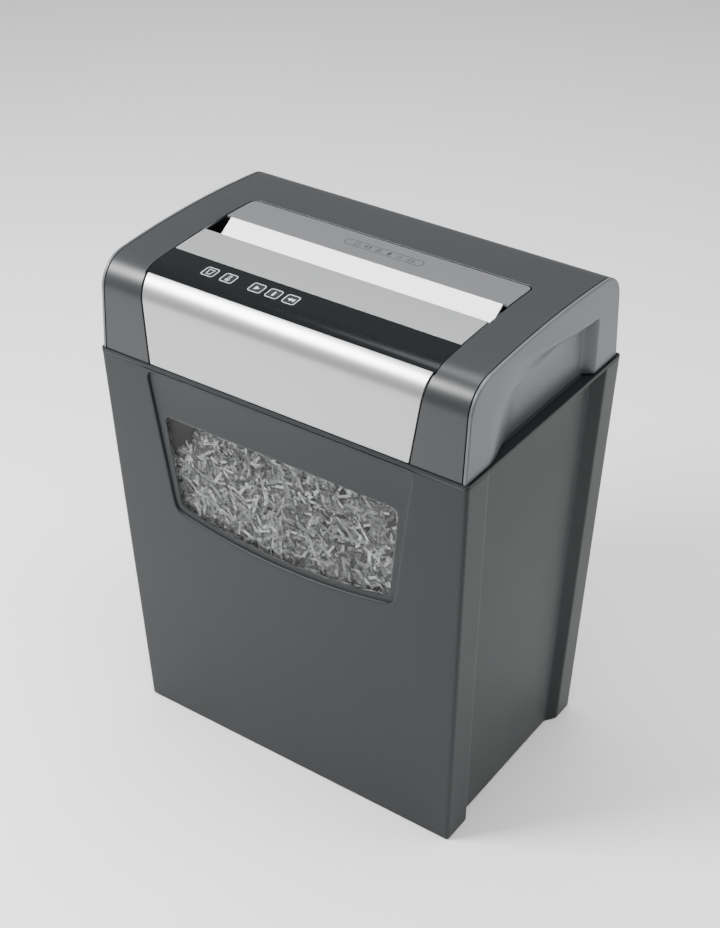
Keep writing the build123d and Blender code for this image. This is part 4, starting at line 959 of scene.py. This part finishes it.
heap = {
    "top": 303.0, "leftLow": 222.0, "rearLow": 229.0, "fallStart": -44.0, "fallEnd": -150.0,
    "backStart": -92.0, "backRun": 190.0, "bump": 1.5,
}
strips = {
    "seed": 11, "long": (11.0, 21.0), "wide": (1.7, 2.7), "bends": 4, "curl": 0.012, "twist": 0.035,
    "wave": (0.2, 1.0), "waves": (3, 9), "shift": (0, 6), "greys": (1.5, 1.35), "darkest": 0.02,
    "paneRoom": 7.4, "sideRoom": 1.2, "rearRoom": 1.0,
}
topStrips = {
    "count": 7600, "x": (-144.0, 144.0), "y": (-96.0, 98.0), "lift": (-3.5, 3.5), "tilt": 0.34, "lean": 0.35,
}
paneStrips = {
    "count": 4300, "across": (-112.0, 112.0), "rise": (-142.0, -36.0), "inward": (8.0, 13.0),
    "over": 1.0, "tilt": 0.12, "lean": 0.25,
}
# the packed heap's one dark tone is painted shade seen between the loose strips
packed = {
    "rows": (4.0, 60.0, 120.0, 180.0, 210.0, 240.0, 265.0, 285.0), "inset": tub["wall"] + 12.0,
    "under": 4.0, "topUnder": 2.5, "grey": 0.12,
}


# height of the heap: level along the front, falling to the left and to the rear, with soft lumps from
# two sines, each bent by the other axis
def heapHeight(x, y):
    h = heap
    left = smoothStep((x - h["fallStart"]) / (h["fallEnd"] - h["fallStart"]))
    front = h["top"] - (h["top"] - h["leftLow"]) * left
    back = smoothStep((y - h["backStart"]) / h["backRun"])
    lumps = np.sin(x / 17.0 + 1.3 * np.sin(y / 23.0)) + np.sin(y / 14.0 + 0.9 * np.sin(x / 31.0) + 2.0)
    return front + (np.minimum(h["rearLow"], front) - front) * back + h["bump"] * lumps


# moves points that lie outside the walls back inside them; the front keeps clear of the window's pane
def keepInside(points):
    fall = (rim - points[:, 2]) / rim
    half = tub["half"] - tub["inset"] - (tub["taper"] - tub["insetLoss"]) * fall
    half -= tub["wall"] + strips["sideRoom"]
    deep = tub["depth"] - tub["lean"] * fall
    points[:, 0] = np.clip(points[:, 0], -half, half)
    points[:, 1] = np.clip(points[:, 1], -deep + strips["paneRoom"], deep - tub["wall"] - strips["rearRoom"])
    return points


# curled strips: centre line c(s) = middle + s * along + (curl * s^2 + wave) * up, with the width
# across it, twisted about it in proportion to s
def stripPart(middle, along, up, rng):
    n = len(middle)
    columns = strips["bends"] + 1
    long = rng.uniform(*strips["long"], (n, 1))
    wide = rng.uniform(*strips["wide"], n)
    s = linspace(-0.5, 0.5, columns)[None] * long
    curl = rng.normal(0.0, strips["curl"], (n, 1))
    size, waves, shift = (rng.uniform(*strips[key], (n, 1)) for key in ("wave", "waves", "shift"))
    wave = size * np.sin(s / long * waves + shift)
    across = np.cross(up, along)
    twist = rng.normal(0.0, strips["twist"], (n, 1)) * s
    centre = middle[:, None] + s[..., None] * along[:, None] + (curl * s ** 2 + wave)[..., None] * up[:, None]
    side = across[:, None] * np.cos(twist)[..., None] + up[:, None] * np.sin(twist)[..., None]
    half = (wide / 2)[:, None, None]
    points = stack([centre - side * half, centre + side * half], 2)
    quads = gridFaces(columns, 2)
    faces = (quads[None] + (np.arange(n) * columns * 2)[:, None, None]).reshape(-1, 4)
    tone = np.clip(rng.beta(*strips["greys"], n), strips["darkest"], 1.0)
    return keepInside(points.reshape(-1, 3)), faces, np.repeat(tone, columns * 2)


# the direction closest to a lean that is square to the strip
def squareTo(along, lean):
    lean = unit(lean)
    return unit(lean - (lean * along).sum(-1, keepdims=True) * along)


# loose strips on top of the heap
def topPart(rng):
    c, n = topStrips, topStrips["count"]
    x, y = rng.uniform(*c["x"], n), rng.uniform(*c["y"], n)
    z = heapHeight(x, y) + rng.uniform(*c["lift"], n)
    turn = rng.uniform(0, 2 * pi, n)
    tilt = rng.normal(0.0, c["tilt"], n)
    along = stack([np.cos(turn) * np.cos(tilt), np.sin(turn) * np.cos(tilt), np.sin(tilt)], -1)
    lean = stack([rng.normal(0, c["lean"], n), rng.normal(0, c["lean"], n), np.ones(n)], -1)
    return stripPart(stack([x, y, z], -1), along, squareTo(along, lean), rng)


# loose strips against the window, up to the heap's height
def panePart(rng):
    c = paneStrips
    middle = frontPlace(*[rng.uniform(*c[key], c["count"]) for key in ("across", "rise", "inward")])
    middle = middle[middle[:, 2] < heapHeight(middle[:, 0], middle[:, 1]) + c["over"]]
    n = len(middle)
    turn = rng.uniform(0, 2 * pi, n)
    along = unit(stack([np.cos(turn), rng.normal(0.0, c["tilt"], n), np.sin(turn)], -1))
    lean = stack([rng.normal(0, c["lean"], n), -np.ones(n), rng.normal(0, c["lean"], n)], -1)
    return stripPart(middle, along, squareTo(along, lean), rng)


# the imported heap under them: plan loops drawn in over the top, all in one dark tone that is painted shade
# in the gaps between the loose strips
def packedPart():
    c = packed
    flat = array([1.0, 1.0, 0.0])
    loops = tubLoops(c["rows"], np.full(len(c["rows"]), c["inset"]), np.zeros(len(c["rows"])))
    loops[..., 2] = np.minimum(loops[..., 2], heapHeight(loops[..., 0], loops[..., 1]) - c["under"])
    top = loops[-1][None] * flat * linspace(1.0, 0.0, 40)[:, None, None]
    top[..., 2] = heapHeight(top[..., 0], top[..., 1]) - c["topUnder"]
    base = loops[0][None] * flat * linspace(0.0, 1.0, 3)[:, None, None]
    base[..., 2] = c["rows"][0]
    points, faces = gridPart(concatenate([base, loops[1:], top]), wrap=True)
    return points, faces, np.full(len(points), c["grey"])


def makeShreds():
    rng = np.random.default_rng(strips["seed"])
    sets = [topPart(rng), panePart(rng), packedPart()]
    tone = concatenate([s[2] for s in sets])
    parts = [s[:2] for s in sets]
    makePiece("paperShreds", parts, "bin", "shredded_paper", ["paper_shreds"], tone=tone)


makeShreds()
print("shreds made")


mark = {
    "line": 0.55, "thick": 0.08, "lift": 0.02, "size": 11.5, "y": cover["faceTop"] + 18.5,
    "ringLine": 0.45, "ringPlace": (8.0, 19.0), "pitch": 9.4, "inset": 0.3,
}
finishes["printInk"] = screenInk("printInk", (0.55, 0.56, 0.57))
finishes["printGrey"] = screenInk("printGrey", (0.012, 0.013, 0.014))


# a closed or open line in the plane, given a width: points moved to both sides along mitred normals
def stroke(points, width, closed=True):
    points = array(points, float)
    ahead = unit(np.roll(points, -1, 0) - points)
    if not closed:
        ahead[-1] = ahead[-2]
    behind = np.roll(ahead, 1, 0)
    if not closed:
        behind[0] = ahead[0]
    out = stack([ahead[:, 1], -ahead[:, 0]], -1) + stack([behind[:, 1], -behind[:, 0]], -1)
    size = (out * out).sum(-1, keepdims=True) / 4
    out = out / 2 / np.maximum(size, 0.3)
    return stack([points - out * width / 2, points + out * width / 2], 0), closed


def roundSquare(half, corner, halfY=None):
    turn = linspace(0, pi / 2, 6)
    halfY = halfY or half
    arcs = []
    for k, (sx, sy) in enumerate(((1, 1), (-1, 1), (-1, -1), (1, -1))):
        centre = array([sx * (half - corner), sy * (halfY - corner)])
        arcs.append(centre + corner * aimed(turn + k * pi / 2))
    return concatenate(arcs)


def disc(radius, centre=(0.0, 0.0), count=16):
    return array(centre) + radius * aimed(linspace(0, 2 * pi, count, endpoint=False))


# a mark lies on the arch at (x, y): its own plane is turned to the surface there
def makeMark(name, shapes, x, y, body, ink, inset):
    place, normal = sidePlace(lengthAt(y), inset - mark["lift"])
    origin = array([x, place[0], place[1] + deck])
    normal3 = array([0.0, normal[0], normal[1]])
    right = array([1.0, 0.0, 0.0])
    upward = np.cross(normal3, right)
    parts = []
    for shape in shapes:
        if isinstance(shape, tuple):
            sheet, closed = shape
        else:  # a filled shape closes on its own middle
            sheet, closed = stack([shape, 0 * shape + shape.mean(0)]), True
        flat = origin + sheet[..., :1] * right + sheet[..., 1:] * upward
        parts.append(gridPart(flat, wrap=closed))
    piece = makePiece(name, parts, body, ink, inner=(x, place[0], -1000.0))
    solid = piece.modifiers.new("ink", "SOLIDIFY")
    solid.thickness = mark["thick"] * mm
    solid.offset = 1.0


def makeStripMarks():
    line = mark["line"]
    frameLine = stroke(roundSquare(mark["size"] / 2 - 0.5, 1.9), line)
    bucket = stroke([(-2.2, 2.4), (-1.5, -2.8), (1.5, -2.8), (2.2, 2.4)], line, False)
    lid = stroke([(-2.9, 2.9), (2.9, 2.9)], line, False)
    bulb = disc(1.5, (0.0, -1.9))
    tube = [[(-0.8, 3.2), (-0.8, -0.6)], bulb[5:], bulb[:4], [(0.8, -0.6), (0.8, 3.2)]]
    stem = stroke(concatenate(tube), line * 0.8)
    play = array([(-1.7, -2.3), (-1.7, 2.3), (2.3, 0.0)])[::-1]
    bar = roundSquare(0.75, 0.2, 2.5)
    back = [array([(0.2, -2.0), (0.2, 2.0), (-2.8, 0.0)]), array([(3.0, -2.0), (3.0, 2.0), (0.0, 0.0)])]
    rows = (
        ("binFullMark", [frameLine, bucket, lid], -80.0, "head", 0.35),
        ("overheatMark", [frameLine, stem, disc(0.7, (0.0, -1.9), 12)], -63.0, "head", 0.35),
        ("forwardMark", [frameLine, play], -37.5, "forward_key", 0.3),
        ("stopMark", [frameLine, bar], -22.5, "stop_key", 0.3),
        ("reverseMark", [frameLine, *back], -7.5, "reverse_key", 0.3),
    )
    for name, shapes, x, body, inset in rows:
        makeMark(name, shapes, x, mark["y"], body, "printInk", inset)


# a capsule with six plain signs for what may be fed in; each line has its share of the ring's width
# and is closed or open
def makeGuideMarks():
    line = mark["ringLine"]
    x, y = mark["ringPlace"]
    ring = stroke(roundSquare(34.0, 4.0, 4.2), line)
    makeMark("feedGuideRing", [ring], x, y, "head", "printGrey", mark["inset"])
    signs = [
        [(roundSquare(1.7, 0.3, 2.4), 1, True)],
        [(roundSquare(2.4, 0.4, 1.6), 1, True), ([(-2.4, 0.5), (2.4, 0.5)], 1, False)],
        [(disc(2.2), 1, True), (disc(0.6, count=10), 1, True)],
        [(roundSquare(1.0, 0.9, 2.4), 1, True), (roundSquare(0.45, 0.4, 1.5), 0.7, True)],
        [([(-1.8, -2.0), (1.8, 2.0)], 1, False), ([(-1.8, 2.0), (1.8, -2.0)], 1, False)],
        [([(-2.2, 0.0), (2.2, 0.0)], 1, False), (roundSquare(2.4, 0.4, 2.0), 1, True)],
    ]
    for k, sign in enumerate(signs):
        shapes = [stroke(points, line * share, closed) for points, share, closed in sign]
        place = x + (k - 2.5) * mark["pitch"]
        makeMark("feedSign%d" % (k + 1), shapes, place, y, "head", "printGrey", mark["inset"])


makeStripMarks()
makeGuideMarks()
print("marks made")


# metres, degrees and watts; each softbox has its place, the point it faces and its two sides
studio = {
    "aim": (0.0, 0.0, 0.243),
    "azimuth": 35.05,
    "elevation": 34.0,
    "distance": 1.33,
    "lens": 66.0,
    "sensor": 36.0,
    "near": 0.01,
    "floorHalf": 4.0,
    "floorDrop": 0.0004,
    "floorGrey": 0.86,
    "room": (0.95, 0.96, 0.98, 1),
    "roomLight": 0.46,
    "softboxes": (
        ("overheadSoftbox", (0.1, 0.15, 1.9), (0, 0, 0.2), (1.6, 1.2), 44),
        ("rightSoftbox", (1.6, 0.9, 1.1), (0.2, 0.2, 0.2), (0.9, 1.1), 13),
        ("keySoftbox", (-0.78, -0.86, 1.32), (-0.3, -0.4, 0.2), (0.6, 0.5), 52),
    ),
}


def makeStage():
    mesh = bpy.data.meshes.new("studioFloor")
    t = linspace(-studio["floorHalf"], studio["floorHalf"], 9)
    x, y = np.meshgrid(t, t)
    points = stack([x, y, 0 * x - studio["floorDrop"]], -1).reshape(-1, 3)
    mesh.from_pydata(points.tolist(), [], gridFaces(9, 9).tolist())
    mesh.materials.append(paperFloor("paperFloor", (studio["floorGrey"],) * 3))
    placed("studioFloor", mesh)


def addSoftbox(name, place, aim, size, watts):
    lamp = bpy.data.lights.new(name, "AREA")
    lamp.shape = "RECTANGLE"
    lamp.size, lamp.size_y = size
    lamp.energy = watts
    box = placed(name, lamp)
    box.location = place
    box.rotation_euler = (Vector(aim) - Vector(place)).to_track_quat("-Z", "Y").to_euler()


def makeStudio():
    s = studio
    makeStage()
    for box in s["softboxes"]:
        addSoftbox(*box)
    world = bpy.data.worlds.new("paleRoom")
    bpy.context.scene.world = world
    world.use_nodes = True
    background = world.node_tree.nodes["Background"].inputs
    background[0].default_value = s["room"]
    background[1].default_value = s["roomLight"]
    a, e = math.radians(s["azimuth"]), math.radians(s["elevation"])
    back = Vector((math.sin(a) * math.cos(e), -math.cos(a) * math.cos(e), math.sin(e)))
    lens = bpy.data.cameras.new("camera")
    lens.lens = s["lens"]
    lens.sensor_width = s["sensor"]
    lens.clip_start = s["near"]
    camera = placed("camera", lens)
    camera.location = Vector(s["aim"]) + back * s["distance"]
    camera.rotation_euler = (-back).to_track_quat("-Z", "Y").to_euler()
    bpy.context.scene.camera = camera


makeStudio()
print("studio made")
